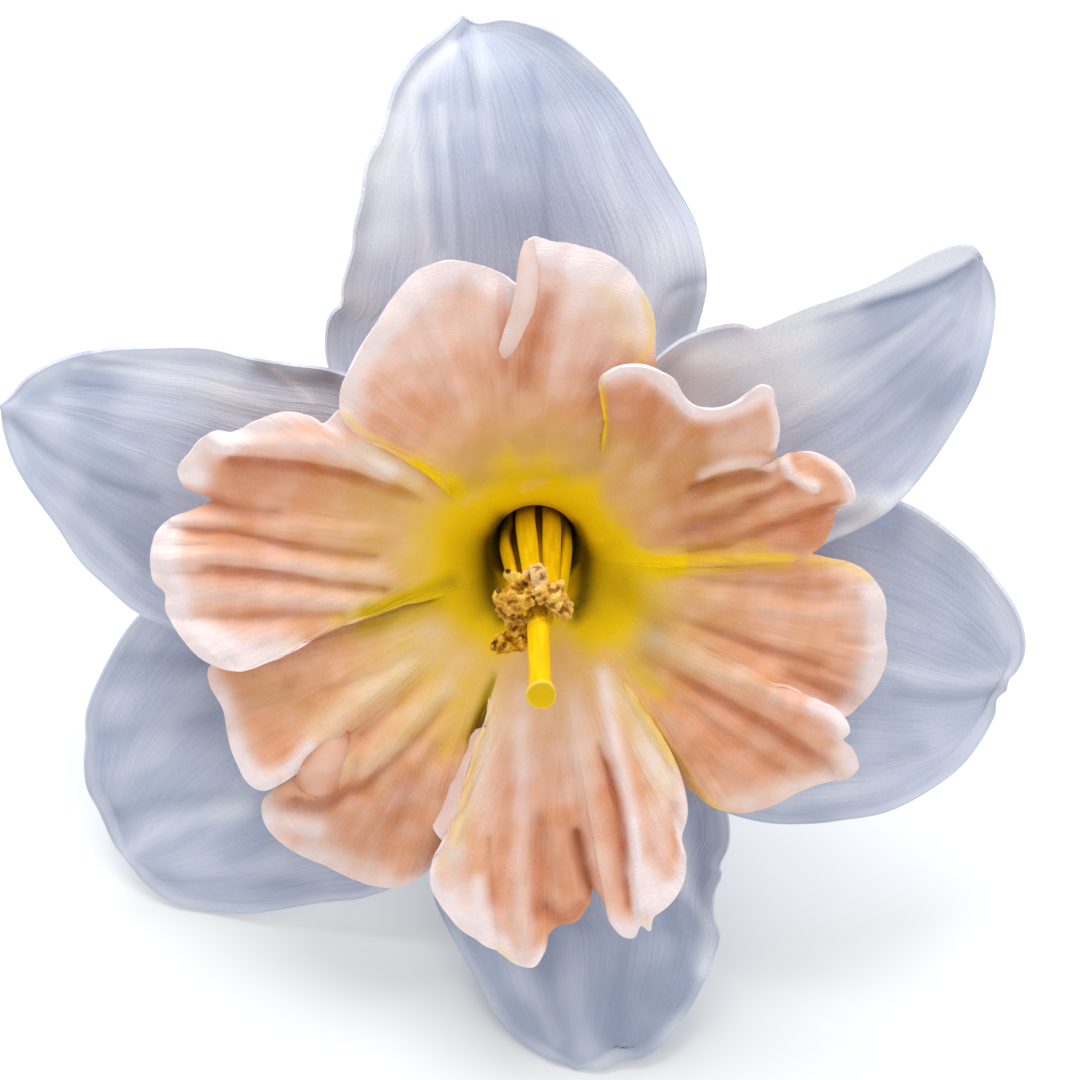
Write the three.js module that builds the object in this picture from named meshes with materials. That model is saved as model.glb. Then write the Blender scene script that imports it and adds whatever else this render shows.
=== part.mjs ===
// A split-corona daffodil flower, picked with a short stalk and laid on a table.
// It rests on the rims of two outer petals and on the slanting cut of the stalk.
//
// Flower frame, in mm: X to the right and Y up as the flower faces you, Z out along the flower's
// axis, with 0 at the mouth of the flower tube. laidDown() turns it onto the table at the end.
import * as THREE from 'three';

// Driving dimensions, in mm and degrees
const petalThickness = 0.65;
const coronaThickness = 0.7;
const seatGap = 0.35; // clearance between a piece and what carries it
const petalRootRadius = 6.1; // petals start just outside the flower tube
const petalRootHalfAngle = 38;
const innerRootHeight = -1.0; // three petals lie in front
const outerRootHeight = -2.6; // and three behind them
const petalRollWidth = 2.2; // strip along a petal's margin that can roll over
const throatRadius = 5.1; // the corona starts here, standing on the rim of the tube
const throatHeight = 0.35;
const cupSlope = 0.34; // rise of the corona where the cup opens into its lobes
const tubeLength = 21.4;
const tubeMouthRadius = 5.5;
const tubeWall = 0.9;
const tubeFootRadius = 3.5;
const tubeFootHole = 1.7;
const ovaryLength = 11.5;
const ovaryRadius = 3.7;
const stalkRadius = 1.9;
const styleRadius = 1.0;
const stigmaRadius = 1.3;
const filamentWidth = 1.75;
const filamentDepth = 0.95;
const restHeight = 0.12; // the rest points' middle surface above the table: their skin is pressed flat

// The outlines are drawn as the flower looks from this far away, from this angle above its axis.
const viewDistance = 380;
const viewTilt = 20;

const degrees = Math.PI / 180;
const tiltCos = Math.cos(viewTilt * degrees);
const tiltSin = Math.sin(viewTilt * degrees);

// The point at a height along the flower's axis that is seen at (x, y).
function seen([x, y, height]) {
  const up = (y * viewDistance - y * height * tiltCos + viewDistance * height * tiltSin)
    / (viewDistance * tiltCos + y * tiltSin);
  const right = x * (viewDistance - up * tiltSin - height * tiltCos) / viewDistance;
  return new THREE.Vector3(right, up, height);
}

function polar(radius, angle, height) {
  return new THREE.Vector3(
    radius * Math.cos(angle * degrees), radius * Math.sin(angle * degrees), height,
  );
}

const smoothCurve = (points) => new THREE.CatmullRomCurve3(points);
const mix = THREE.MathUtils.lerp;

// Sheets: a middle surface, given as a grid of points, is thickened evenly to both sides

// Corners that are the same point object are welded, so a row or column can close to one point.
function sheet(rows, thickness, closedRound, directionAt) {
  const points = [...new Set(rows.flat())];
  const index = new Map(points.map((point, i) => [point, i]));
  const triangles = [];
  const addTriangle = (...corners) => {
    const ids = corners.map((corner) => index.get(corner));
    if (new Set(ids).size === 3) triangles.push(ids);
  };
  for (let r = 0; r + 1 < rows.length; r += 1) {
    const last = closedRound ? rows[r].length : rows[r].length - 1;
    for (let c = 0; c < last; c += 1) {
      const next = (c + 1) % rows[r].length;
      const [a, b, d, e] = [rows[r][c], rows[r][next], rows[r + 1][next], rows[r + 1][c]];
      if (a.distanceTo(d) < b.distanceTo(e)) {
        addTriangle(a, b, d);
        addTriangle(a, d, e);
      } else {
        addTriangle(a, b, e);
        addTriangle(b, d, e);
      }
    }
  }
  return thicken(points, triangles, thickness, directionAt);
}

// The skins lie off the middle surface along its normals, or along directionAt where that is given.
function thicken(points, triangles, thickness, directionAt) {
  const normals = points.map(() => new THREE.Vector3());
  const openEdges = new Map();
  for (const [a, b, c] of triangles) {
    const across = new THREE.Vector3().subVectors(points[b], points[a]);
    const area = across.cross(new THREE.Vector3().subVectors(points[c], points[a]));
    for (const corner of [a, b, c]) normals[corner].add(area);
    for (const [from, to] of [[a, b], [b, c], [c, a]]) {
      if (!openEdges.delete(`${to}>${from}`)) openEdges.set(`${from}>${to}`, [from, to]);
    }
  }
  const directions = directionAt ? points.map(directionAt) : normals.map((normal) => normal.normalize());
  const count = points.length;
  const positions = [];
  for (const side of [0.5, -0.5]) {
    points.forEach((point, i) => {
      positions.push(...point.clone().addScaledVector(directions[i], side * thickness));
    });
  }
  const faces = [];
  for (const [a, b, c] of triangles) faces.push(a, b, c, count + a, count + c, count + b);
  for (const [from, to] of openEdges.values()) {
    faces.push(to, from, count + from, to, count + from, count + to);
  }
  return surface(positions, faces);
}

function surface(positions, faces) {
  const geometry = new THREE.BufferGeometry();
  geometry.setAttribute('position', new THREE.Float32BufferAttribute(positions, 3));
  geometry.setIndex(faces);
  geometry.computeVertexNormals();
  return geometry;
}

// Rods: an oval section carried along a smooth path, closed by a blunt end at each side

// widths holds [half width, half depth] at even steps; facing is the direction of the depth.
// Where cut is given, the last ring slides along the rod onto that plane and ends in a flat face.
function rod(pathPoints, widths, facing, steps, sides, cut) {
  const path = smoothCurve(pathPoints);
  const positions = [...path.getPointAt(0)];
  const ringCount = cut ? steps : steps - 1;
  const ringPlace = (step) => {
    if (!cut) return (1 - Math.cos((Math.PI * step) / steps)) / 2;
    return step === steps ? 1 : 0.75 * (step / (steps - 1)) ** 1.6;
  };
  const slide = (point) => {
    if (!cut) return point;
    const along = path.getTangentAt(1);
    return point.addScaledVector(along, -cut.distanceToPoint(point) / cut.normal.dot(along));
  };
  for (let step = 1; step <= ringCount; step += 1) {
    const at = ringPlace(step);
    const along = path.getTangentAt(at);
    const across = new THREE.Vector3().crossVectors(along, facing).normalize();
    const depth = new THREE.Vector3().crossVectors(across, along);
    const place = at * (widths.length - 1);
    const low = Math.min(Math.floor(place), widths.length - 2);
    const [halfWidth, halfDepth] = [0, 1].map(
      (i) => mix(widths[low][i], widths[low + 1][i], place - low),
    );
    for (let side = 0; side < sides; side += 1) {
      const turn = (side / sides) * 2 * Math.PI;
      const point = path.getPointAt(at)
        .addScaledVector(across, halfWidth * Math.cos(turn))
        .addScaledVector(depth, halfDepth * Math.sin(turn));
      positions.push(...(step === steps ? slide(point) : point));
    }
  }
  positions.push(...slide(path.getPointAt(1)));
  const ring = (step, side) => 1 + (step - 1) * sides + (side % sides);
  const end = positions.length / 3 - 1;
  const faces = [];
  for (let side = 0; side < sides; side += 1) {
    faces.push(0, ring(1, side), ring(1, side + 1));
    faces.push(end, ring(ringCount, side + 1), ring(ringCount, side));
    for (let step = 1; step < ringCount; step += 1) {
      const [a, b] = [ring(step, side), ring(step, side + 1)];
      const [c, d] = [ring(step + 1, side), ring(step + 1, side + 1)];
      faces.push(a, c, b, b, c, d);
    }
  }
  return surface(positions, faces);
}

// A solid of revolution about the flower's axis; profile points are [radius, height].
function turned(profile, sides) {
  const outline = profile.map(([radius, height]) => new THREE.Vector2(radius, height));
  return new THREE.LatheGeometry(outline, sides).rotateX(Math.PI / 2);
}

// Petals: margins run from the root to the tip as [x, y, height] seen from the front.
// left and right are as seen with the petal pointing up. hollow lowers the middle of the petal.
// roll gives the angle, in degrees, that the strip along each margin turns over towards you.
const petals = {
  petal_outer_top: {
    angle: 95, outer: true, hollow: 0.7,
    left: [[-8, 6, -2], [-14, 10.5, -2.2], [-18.5, 14.5, -2.4], [-20.7, 18.4, -2.6], [-20.8, 22.6, -2.8],
      [-19.6, 25, -2.8], [-18.9, 28.4, -3], [-18.2, 32, -3], [-17.4, 35.5, -3.2], [-16.8, 39, -3.6],
      [-15.5, 41.5, -4], [-13.9, 46.6, -5], [-11.9, 49.4, -6], [-9.8, 51.1, -7]],
    right: [[6.5, 6, -2], [11, 11, -2.2], [14.4, 16.5, -2.3], [16, 21.5, -2.4], [17.1, 26.6, -2.6],
      [16.1, 32.3, -3], [13.9, 36.4, -3.4], [11.8, 40, -3.8], [10, 43.5, -4.4], [8, 46.2, -5],
      [4.5, 49.7, -6], [0.8, 52, -7], [-3, 52.9, -7.6], [-5.9, 52.5, -7.8]],
    tip: [-7.3, 53.2, -8],
    roll: { left: [8, 20, 40, 60, 115, 70], right: [8, 8, 8, 8, 20, 8] },
  },
  petal_inner_upper_right: {
    angle: 32, outer: false, hollow: 1.1,
    left: [[3.4, 8, -0.4], [8, 14, 0.2], [11.3, 18.3, 0.6], [13.6, 20.5, 0.8], [16, 21.8, 1],
      [20.3, 22.8, 1.2], [21.8, 22.5, 1.3], [24.9, 24.1, 1.5], [29.2, 25.8, 1.8], [33.2, 27.3, 2],
      [37.2, 29, 2.2], [39.9, 30.1, 2.4], [42.3, 30.6, 2.6], [43.6, 30.3, 2.7]],
    right: [[10, -2.5, -0.4], [18, -2.2, 0], [24, -1.4, 0.2], [28.6, 0.4, 0.4], [32.6, 2.2, 0.8],
      [36.2, 4.9, 1.2], [38, 6.6, 1.4], [40.2, 9.4, 1.6], [42.2, 12.6, 1.8], [44.3, 16.6, 2],
      [45.6, 21, 2.3], [46, 24.8, 2.5], [45.5, 27.2, 2.7]],
    tip: [44.5, 29, 2.8],
    roll: { left: [8, 8, 50, 150, 170, 120], right: [8, 8, 30, 8, 8, 8] },
  },
  petal_outer_lower_right: {
    angle: 342, outer: true, hollow: 0.8,
    left: [[8, 4, -2], [16, 6.5, -2], [24, 7, -1.9], [31, 6.4, -1.8], [36, 5, -1.6], [38.4, 3.8, -1.5],
      [40.8, 2.2, -1.5], [43.5, 0, -1.5], [46, -3, -1.6], [47.9, -6, -1.8], [48.8, -9.1, -2],
      [48.7, -10.9, -2], [48.1, -12.2, -2], [47.3, -13.1, -2]],
    right: [[5, -10, -2], [10, -19, -2], [15, -24.5, -2], [19.5, -26.5, -2], [24, -27.5, -2],
      [27.5, -27.4, -2], [30.5, -27, -2], [34.3, -26.4, -2], [38.8, -24.4, -2], [41.9, -22.2, -2],
      [44.4, -19.4, -2], [45.9, -16.7, -2], [46.1, -15.2, -2]],
    tip: [47, -14.3, -2],
    roll: { left: [8, 8, 30, 60, 60, 30], right: [8, 8, 8, 20, 20, 8] },
  },
  petal_inner_bottom: {
    angle: 277, outer: false, hollow: -0.9,
    left: [[6.5, -6, -0.4], [12, -13, 0], [16.5, -20, 0.6], [19, -26, 1], [19.2, -29.6, 1.2],
      [18.1, -32.6, 1.4], [17.7, -36.6, 1.7], [18.2, -38.4, 2], [17.9, -40.4, 2.2], [16.3, -44.4, 2.8],
      [14.5, -47.2, 3.4], [12.2, -49.9, 4], [10, -51.1, 4.4], [6.8, -51.9, 4.9]],
    right: [[-5.5, -7.5, -0.4], [-8.5, -15, 0], [-10, -23, 0.6], [-10.6, -30, 1], [-10.2, -34.8, 1.4],
      [-8.2, -39, 2], [-6.4, -42.4, 2.6], [-4.4, -46.1, 3.2], [-1.8, -49.1, 4], [1.2, -51, 4.6]],
    tip: [4, -52, 4.9],
    roll: { left: [8, 8, 25, 40, 8, 8], right: [8, 8, 8, 8, 8, 8] },
  },
  petal_outer_lower_left: {
    angle: 216, outer: true, hollow: 0.5,
    left: [[-5, -9.5, -2], [-7, -19, -2], [-9, -27, -2.2], [-12.5, -32.8, -2.3], [-17.3, -34.9, -2.5],
      [-20.8, -35.3, -2.5], [-25.4, -36, -2.6], [-28.9, -36.4, -2.7], [-33.4, -36.1, -2.8],
      [-36.1, -35.4, -2.9], [-38.8, -33.7, -3], [-40.4, -31.9, -3]],
    right: [[-7.5, 0.5, -2], [-16, 2, -2], [-26, 0.5, -2], [-34, -2.5, -2], [-39.6, -6.5, -2],
      [-42.8, -11.4, -2.1], [-44.8, -16.2, -2.3], [-44.9, -19, -2.4], [-45.1, -21.6, -2.5],
      [-44.8, -24, -2.6], [-43.8, -26.1, -2.8], [-42.2, -29.6, -3]],
    tip: [-41.3, -30.7, -3],
    roll: { left: [8, 8, 8, 8, 8, 8], right: [8, 8, 25, 40, 40, 8] },
  },
  petal_inner_left: {
    angle: 163, outer: false, hollow: -0.7,
    left: [[-6.5, -3, -0.4], [-14, -7, -0.2], [-24, -9.6, 0.2], [-32, -9.6, 0.5], [-36.8, -7.8, 0.8],
      [-40, -6.3, 1], [-42.9, -3.8, 1.2], [-45.6, -1.2, 1.4], [-47.8, 2.1, 1.6], [-50.2, 5.4, 1.9],
      [-52.2, 8.6, 2.2], [-53.3, 11.9, 2.5]],
    right: [[-5.5, 6.8, -0.4], [-11, 12, 0.2], [-16, 16.2, 0.7], [-20.5, 18, 1], [-24.5, 18.5, 1.2],
      [-28.1, 19.1, 1.3], [-32.6, 20.2, 1.6], [-38.2, 20.4, 1.8], [-43.8, 19.9, 2], [-48, 18.8, 2.2],
      [-50.8, 17.1, 2.4], [-52.5, 15.2, 2.6]],
    tip: [-53.6, 14.2, 2.6],
    roll: { left: [8, 8, 8, 8, 8, 8], right: [8, 60, 30, 30, 45, 20] },
  },
};

// The strip outside a margin, as [share of the roll width outwards, share of it upwards].
function rolled(angle, share) {
  const turn = Math.max(angle * degrees, 0.01);
  return [Math.sin(turn * share) / turn, (1 - Math.cos(turn * share)) / turn];
}

// How far the rolled strip reaches outwards, so that the outline stays where it is drawn.
function rollReach(angle) {
  return angle < 90 ? rolled(angle, 1)[0] : 1 / (angle * degrees);
}

function petal({ angle, outer, hollow, left, right, tip, roll }) {
  const rowCount = 12;
  const columnCount = 7;
  const rollSteps = 2;
  const rootHeight = outer ? outerRootHeight : innerRootHeight;
  const rootAt = (across) => polar(petalRootRadius, angle - across * petalRootHalfAngle, rootHeight);
  const tipPoint = seen(tip);
  const sides = [[left, -1, roll.left], [right, 1, roll.right]].map(([points, across, angles]) => ({
    margin: smoothCurve([rootAt(across), ...points.map(seen), tipPoint]), across, angles,
  }));
  const rows = [];
  for (let r = 0; r < rowCount; r += 1) {
    const u = 1 - (1 - r / rowCount) ** 1.3;
    const swell = Math.sin(Math.PI * u) ** 0.6;
    const [leftEdge, rightEdge] = sides.map(({ margin }) => margin.getPointAt(u));
    const stripWidth = Math.min(petalRollWidth * swell + 0.35, leftEdge.distanceTo(rightEdge) * 0.2);
    const strips = sides.map(({ margin, across, angles }) => {
      const place = u * (angles.length - 1);
      const low = Math.floor(place);
      const turn = mix(angles[low], angles[low + 1], place - low);
      const along = margin.getTangentAt(u);
      const outwards = new THREE.Vector3(along.y, -along.x, 0).normalize().multiplyScalar(across);
      const start = margin.getPointAt(u).addScaledVector(outwards, -stripWidth * rollReach(turn));
      const strip = [];
      for (let step = 1; step <= rollSteps; step += 1) {
        const [out, up] = rolled(turn, step / rollSteps);
        const point = start.clone().addScaledVector(outwards, stripWidth * out);
        strip.push(point.setZ(point.z + stripWidth * up));
      }
      return { start, strip };
    });
    const row = [...strips[0].strip].reverse();
    for (let c = 0; c <= columnCount; c += 1) {
      const across = (c / columnCount) * 2 - 1;
      const point = strips[0].start.clone().lerp(strips[1].start, c / columnCount);
      const chordToArc = rootAt(across).sub(rootAt(-1).lerp(rootAt(1), c / columnCount));
      point.addScaledVector(chordToArc, (1 - u) ** 4);
      point.z -= hollow * (1 - across * across) * swell;
      row.push(point);
    }
    rows.push([...row, ...strips[1].strip]);
  }
  rows.push(rows[0].map(() => tipPoint));
  return sheet(rows.map((row) => [...row].reverse()), petalThickness);
}

// Corona: six lobes joined into a cup at the throat. Each slit between two lobes ends at a point.
// Going round anticlockwise, lobe n lies between slitEnds[n] and slitEnds[n + 1].
const slitEnds = [
  [10.4, -1.7, 5.4], [6.6, 9.8, 5.6], [-8.5, 5.4, 5.4],
  [-9.2, -4.6, 5.2], [-4.6, -15, 5.6], [8.7, -13.3, 5.6],
];

// Each lobe's margin, from one slit end to the next, as [x, y, height, foot]: foot is the share of
// the way between the slit ends where the pleat that runs out to this point leaves the cup.
const lobes = {
  upperRight: [
    [14.5, -1.5, 6.6, 0.04], [19, -1.3, 7.6, 0.08], [23, -1.1, 8.6, 0.12], [26, -0.9, 9.4, 0.16],
    [28.3, 0.1, 9.8, 0.21], [29.4, 1.9, 9.6, 0.25], [30.2, 3.7, 10.2, 0.3], [31.8, 4.8, 11.2, 0.34],
    [31.6, 6.4, 11.2, 0.38], [28.6, 9, 10.2, 0.44], [26.4, 9.6, 9.8, 0.47], [23.5, 8.9, 8.6, 0.51],
    [24.4, 12, 10, 0.56], [23.8, 14.6, 11.2, 0.58], [22.7, 16.4, 12, 0.6], [20.4, 14.8, 10.2, 0.66],
    [17.6, 13.7, 9.6, 0.72], [15.2, 14.6, 9.8, 0.77], [12.6, 17.7, 11, 0.82], [11.4, 17.6, 10.6, 0.87],
    [10.7, 16, 9.8, 0.92], [8.9, 12.6, 8, 0.96],
  ],
  top: [
    [8.35, 13.3, 6.4, 0.06], [10.1, 16.8, 7.2, 0.12], [11.8, 20.4, 8, 0.18],
    [11.6, 23.6, 8.5, 0.24], [9.9, 27, 8.7, 0.28], [6.9, 29.6, 8.9, 0.33], [3.6, 30.3, 9.2, 0.37],
    [-0.3, 31, 10, 0.42], [-1.4, 29, 10.4, 0.45], [-2, 24.8, 10.3, 0.475], [-2.5, 21.4, 9.8, 0.495],
    [-3, 19.4, 8.8, 0.515], [-3.9, 21.4, 8.2, 0.55], [-4.2, 24, 8, 0.58], [-4.3, 26.8, 8.2, 0.61],
    [-5.8, 28.2, 8.6, 0.65], [-9, 28.7, 9.4, 0.68], [-13.6, 26, 9.4, 0.72], [-16.2, 22.2, 9.8, 0.75],
    [-18.4, 18.4, 10, 0.78], [-19.6, 15, 9.8, 0.81], [-19.3, 12.9, 9.6, 0.84], [-17.4, 11.5, 9.2, 0.87],
    [-14.6, 9.6, 8.4, 0.91], [-12, 7.8, 7.4, 0.95],
  ],
  left: [
    [-12, 7.6, 5.9, 0.04], [-15.4, 9.7, 6.7, 0.08], [-18.4, 11.6, 7.8, 0.11], [-21.3, 12.6, 8, 0.15],
    [-24.6, 13.5, 8.8, 0.19], [-28.4, 12.4, 9.2, 0.23], [-32.6, 11.4, 9.2, 0.27], [-33.9, 10, 8.3, 0.29],
    [-35.7, 8, 7.6, 0.32], [-34.8, 6, 7.3, 0.34], [-32.8, 4.7, 7, 0.36], [-36.6, 2.9, 8, 0.39],
    [-38.4, 0.4, 8.8, 0.44], [-38.2, -3, 8.9, 0.49], [-36.9, -4.6, 8.4, 0.52], [-36.9, -6.4, 9.1, 0.55],
    [-35.2, -9, 9.7, 0.59], [-33, -11.1, 10, 0.63], [-30, -12.2, 10.1, 0.68], [-26.8, -11.3, 9.8, 0.74],
    [-23.6, -9.8, 9.2, 0.8], [-20.4, -8.3, 8.5, 0.86], [-16.6, -6.8, 7.6, 0.92], [-12.4, -5.5, 6.3, 0.97],
  ],
  lowerLeft: [
    [-11.6, -5.5, 5, 0.03], [-16, -6.9, 5.5, 0.06], [-21, -8.4, 6.1, 0.09], [-27, -10.2, 6.5, 0.12],
    [-32.7, -11.9, 6.8, 0.15], [-32.6, -13.8, 6.9, 0.18], [-30.9, -16.6, 7.2, 0.22], [-30, -21.2, 7.9, 0.3],
    [-28.8, -23.3, 8.1, 0.34], [-27.2, -24.2, 7.2, 0.37], [-27.1, -26, 6.8, 0.4], [-26.2, -28.4, 6.7, 0.46],
    [-24.8, -29.9, 6.8, 0.52], [-22.2, -31.1, 7, 0.58], [-19.4, -32.4, 7.2, 0.67], [-14.6, -33.9, 7, 0.81],
    [-10.6, -32.5, 6.6, 0.89], [-9.2, -28, 6.3, 0.93], [-7.8, -23.5, 6, 0.955], [-6.15, -19, 5.6, 0.98],
  ],
  bottom: [
    [-5.1, -17, 6.7, 0.03], [-6.9, -20.3, 8, 0.06], [-9.4, -24.4, 9.2, 0.1], [-10.3, -28.1, 9.5, 0.13],
    [-9.5, -29.4, 9.6, 0.15], [-10.5, -32.4, 9.7, 0.18], [-9.9, -35.4, 9.8, 0.22], [-6.6, -38.8, 9.8, 0.28],
    [-2.6, -41.4, 9.7, 0.34], [0.4, -41.5, 9.9, 0.395], [1.6, -38.4, 9, 0.44], [4.4, -37, 8.6, 0.495],
    [6, -34.2, 8.2, 0.54], [7.3, -37.2, 9.5, 0.58], [9.5, -39, 9.8, 0.635], [11.6, -37.6, 10, 0.68],
    [13.1, -35.4, 10.2, 0.735], [14.8, -33, 10, 0.785], [15.2, -29.9, 9.8, 0.83], [14.5, -28, 9.6, 0.86],
    [15.1, -25.4, 9.2, 0.9], [13.3, -21.2, 8.3, 0.95], [11.2, -17.6, 7.2, 0.975], [9.55, -14.8, 6.3, 0.99],
  ],
  lowerRight: [
    [10, -15.2, 5.8, 0.02], [12.4, -18.6, 6.3, 0.045], [14.8, -22.4, 6.8, 0.07], [17.4, -25.5, 7.1, 0.1],
    [20.3, -26.6, 7.2, 0.14], [25.2, -24.8, 7.2, 0.21], [31, -22.8, 7.2, 0.29], [32.2, -21.6, 7.5, 0.32],
    [30.9, -18.9, 8.8, 0.37], [31, -17.6, 9.4, 0.395], [28.4, -15.4, 9.2, 0.43], [26, -13.9, 8.5, 0.46],
    [24.4, -12.9, 7.7, 0.5], [26.2, -13, 7, 0.55], [29, -14, 6.8, 0.6], [31.2, -14.8, 7, 0.64],
    [33.6, -14.3, 7.4, 0.685], [35, -11, 7.5, 0.74], [34.8, -8.4, 7.2, 0.785], [34.8, -5, 7.2, 0.83],
    [33.3, -2.5, 7, 0.87], [30, -1.4, 6.7, 0.9], [26.4, -1.4, 6.4, 0.93], [20.5, -1.45, 5.9, 0.955],
    [14.4, -1.55, 5.4, 0.98],
  ],
};

// Pleats of each lobe: [margin point the pleat runs to, height, half width in margin points].
const pleats = {
  upperRight: [[3.5, -1, 1.2], [6, 0.9, 1.3], [9.5, -1.1, 1.4], [13.5, 1, 1.6], [17.5, -0.7, 1.5]],
  top: [[5, 0.7, 2], [9.5, 0.9, 1.4], [12.5, -0.9, 1.4], [16, 0.6, 2], [19, -0.6, 1.6]],
  left: [
    [6, 1, 1.6], [8.8, -1.5, 1.3], [11, 0.7, 1.2], [13.6, -0.8, 1.2], [16.5, 0.6, 1.3], [20, -0.6, 1.2],
  ],
  lowerLeft: [[6, 0.8, 1.6], [8.4, -0.6, 1.2], [11, 1.8, 1.5], [14, -0.8, 1.4], [17, -0.4, 1.2]],
  bottom: [
    [5.5, 0.7, 1.3], [8.4, -0.5, 1.2], [10.5, 0.6, 1.1], [13, -1, 1.2], [16.4, 0.8, 1.3], [19.5, -0.4, 1.4],
  ],
  lowerRight: [[5, -0.6, 1.6], [9.5, 1, 1.6], [13.6, -0.7, 1.2], [17.5, 0.6, 1.4], [20.5, -0.5, 1.4]],
};

// The direction square to the cup: it leans in to the axis at the throat and rises along it further out.
function leanAt(point) {
  const radius = Math.hypot(point.x, point.y);
  const lean = 88 * Math.exp((throatRadius - radius) / 3.2) * degrees;
  const inwards = -Math.sin(lean) / radius;
  return new THREE.Vector3(inwards * point.x, inwards * point.y, Math.cos(lean));
}

function corona() {
  const cupRows = 3;
  const lobeRows = 5;
  const ends = slitEnds.map(seen);
  const rows = Array.from({ length: cupRows + lobeRows + 1 }, () => []);
  Object.entries(lobes).forEach(([name, margin], lobe) => {
    const end = ends[lobe];
    const nextEnd = ends[(lobe + 1) % ends.length];
    const endAngle = Math.atan2(end.y, end.x);
    const span = (Math.atan2(nextEnd.y, nextEnd.x) - endAngle + 2 * Math.PI) % (2 * Math.PI);
    const ringAt = (foot) => {
      const radius = mix(Math.hypot(end.x, end.y), Math.hypot(nextEnd.x, nextEnd.y), foot);
      const angle = (endAngle + span * foot) / degrees;
      return polar(radius + 0.8 * Math.sin(Math.PI * foot), angle, mix(end.z, nextEnd.z, foot));
    };
    const edges = [end, ...margin.map(seen)];
    edges.forEach((edge, column) => {
      const ring = column === 0 ? end : ringAt(margin[column - 1][3]);
      const throat = polar(throatRadius, Math.atan2(ring.y, ring.x) / degrees, throatHeight);
      const wallTop = throat.clone().multiplyScalar(1.06).setZ(
        ring.z - cupSlope * (Math.hypot(ring.x, ring.y) - throatRadius),
      );
      const cupCurve = new THREE.QuadraticBezierCurve3(throat, wallTop, ring);
      for (let r = 0; r < cupRows; r += 1) rows[r].push(cupCurve.getPoint(r / cupRows));
      rows[cupRows].push(ring);
      const reach = Math.hypot(edge.x - ring.x, edge.y - ring.y);
      for (let r = 1; r <= lobeRows; r += 1) {
        const t = r / lobeRows;
        const point = ring.clone().lerp(edge, t);
        const rising = ring.z + 0.5 * cupSlope * reach;
        point.z = (1 - t) ** 2 * ring.z + 2 * t * (1 - t) * rising + t * t * edge.z;
        for (const [at, height, halfWidth] of pleats[name]) {
          const nearness = Math.exp(-(((column - 1 - at) / halfWidth) ** 2));
          point.z += height * nearness * Math.sin(Math.PI * t) * Math.min(reach / 12, 1);
        }
        rows[cupRows + r].push(column === 0 ? end : point);
      }
    });
  });
  return sheet(rows.map((row) => [...row].reverse()), coronaThickness, true, leanAt);
}

// Stamens: a flat filament rises from the tube's wall, and a shrivelled anther lies at its end
const filamentFootHeight = -13;
const filamentFootRadius = 2.65;
const filamentMouthRadius = 3.1;
const stamens = [
  {
    angle: 110, top: [-0.5, -1.9, 11.8],
    anther: [[-0.3, -3, 13.2], [-0.1, -2.6, 14.2], [0.1, -2.3, 15.2]], halfWidth: 0.95,
  },
  {
    angle: 170, top: [-2.2, -3.2, 11.4],
    anther: [[-2.4, -4.4, 12.6], [-2.4, -3.7, 13.8], [-2.5, -2.9, 15.2]], halfWidth: 0.6,
  },
  {
    angle: 230, top: [-2.5, -6.9, 12],
    anther: [[-2.7, -7.9, 13.2], [-2.9, -6.6, 14.4], [-3.7, -5.2, 15.2]], halfWidth: 0.75,
  },
  {
    angle: 290, top: [0.9, -8, 12.4],
    anther: [[-0.9, -8.6, 13.4], [-2.6, -9.3, 14.2], [-4, -10, 15], [-3, -10.6, 15.6]],
    halfWidth: 0.55,
  },
  {
    angle: 10, top: [2.5, -4.6, 11.8],
    anther: [[2.9, -5.6, 13], [2.7, -6.1, 14], [2.6, -6.8, 15.2]], halfWidth: 0.75,
  },
  {
    angle: 60, top: [1.6, -2.9, 11.8],
    anther: [[1.9, -3.9, 13], [1.9, -4.3, 14], [1.7, -4.7, 15.2]], halfWidth: 0.7,
  },
];

function filament({ angle, top }) {
  const path = [
    polar(filamentFootRadius, angle, filamentFootHeight),
    polar((filamentFootRadius + filamentMouthRadius) / 2, angle, filamentFootHeight / 2),
    polar(filamentMouthRadius, angle, 0),
    polar(filamentMouthRadius, angle, 0).lerp(seen(top), 0.55),
    seen(top),
  ];
  const [width, depth] = [filamentWidth / 2, filamentDepth / 2];
  const widths = [[0.7 * width, 0.7 * depth], [width, depth], [width, depth], [0.8 * width, depth],
    [0.6 * width, 0.8 * depth]];
  return rod(path, widths, polar(1, angle, 0), 9, 6);
}

function anther({ top, anther: bends, halfWidth }) {
  const path = bends.map(seen);
  const foot = seen(top);
  foot.addScaledVector(path[0].clone().sub(foot).normalize(), seatGap + 0.05);
  const widths = [0.5, 1, 1.1, 1.05, 0.9].map((share) => [halfWidth * share, halfWidth * share * 0.9]);
  return rod([foot, ...path], widths, new THREE.Vector3(0.2, 1, 0.1), 8, 6);
}

// Style: up the middle of the flower, bending down past the anthers to a three-lobed stigma
const stylePath = [
  [0, 0, -tubeLength + 0.05], [0, 0, 0], [0.1, -0.6, 8], [0.2, -1.7, 14], [0.3, -3.1, 19],
  [0.4, -4.6, 23], [0.5, -5.5, 25.4],
];

function style() {
  const widths = [0.7, 0.75, 0.8, 0.85, 0.9, 1, 1.05, 1.1, 1.15, 1.15]
    .map((share) => [styleRadius * share, styleRadius * share]);
  widths.push([stigmaRadius, stigmaRadius]);
  const path = stylePath.map((point) => new THREE.Vector3(...point));
  return rod(path, widths, new THREE.Vector3(0, 1, 0), 16, 9);
}

// Behind the petals: the flower tube, the ovary, and the stalk cut on a slant
const tubeTop = -0.25;
const tubeFoot = tubeTop - tubeLength;

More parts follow.
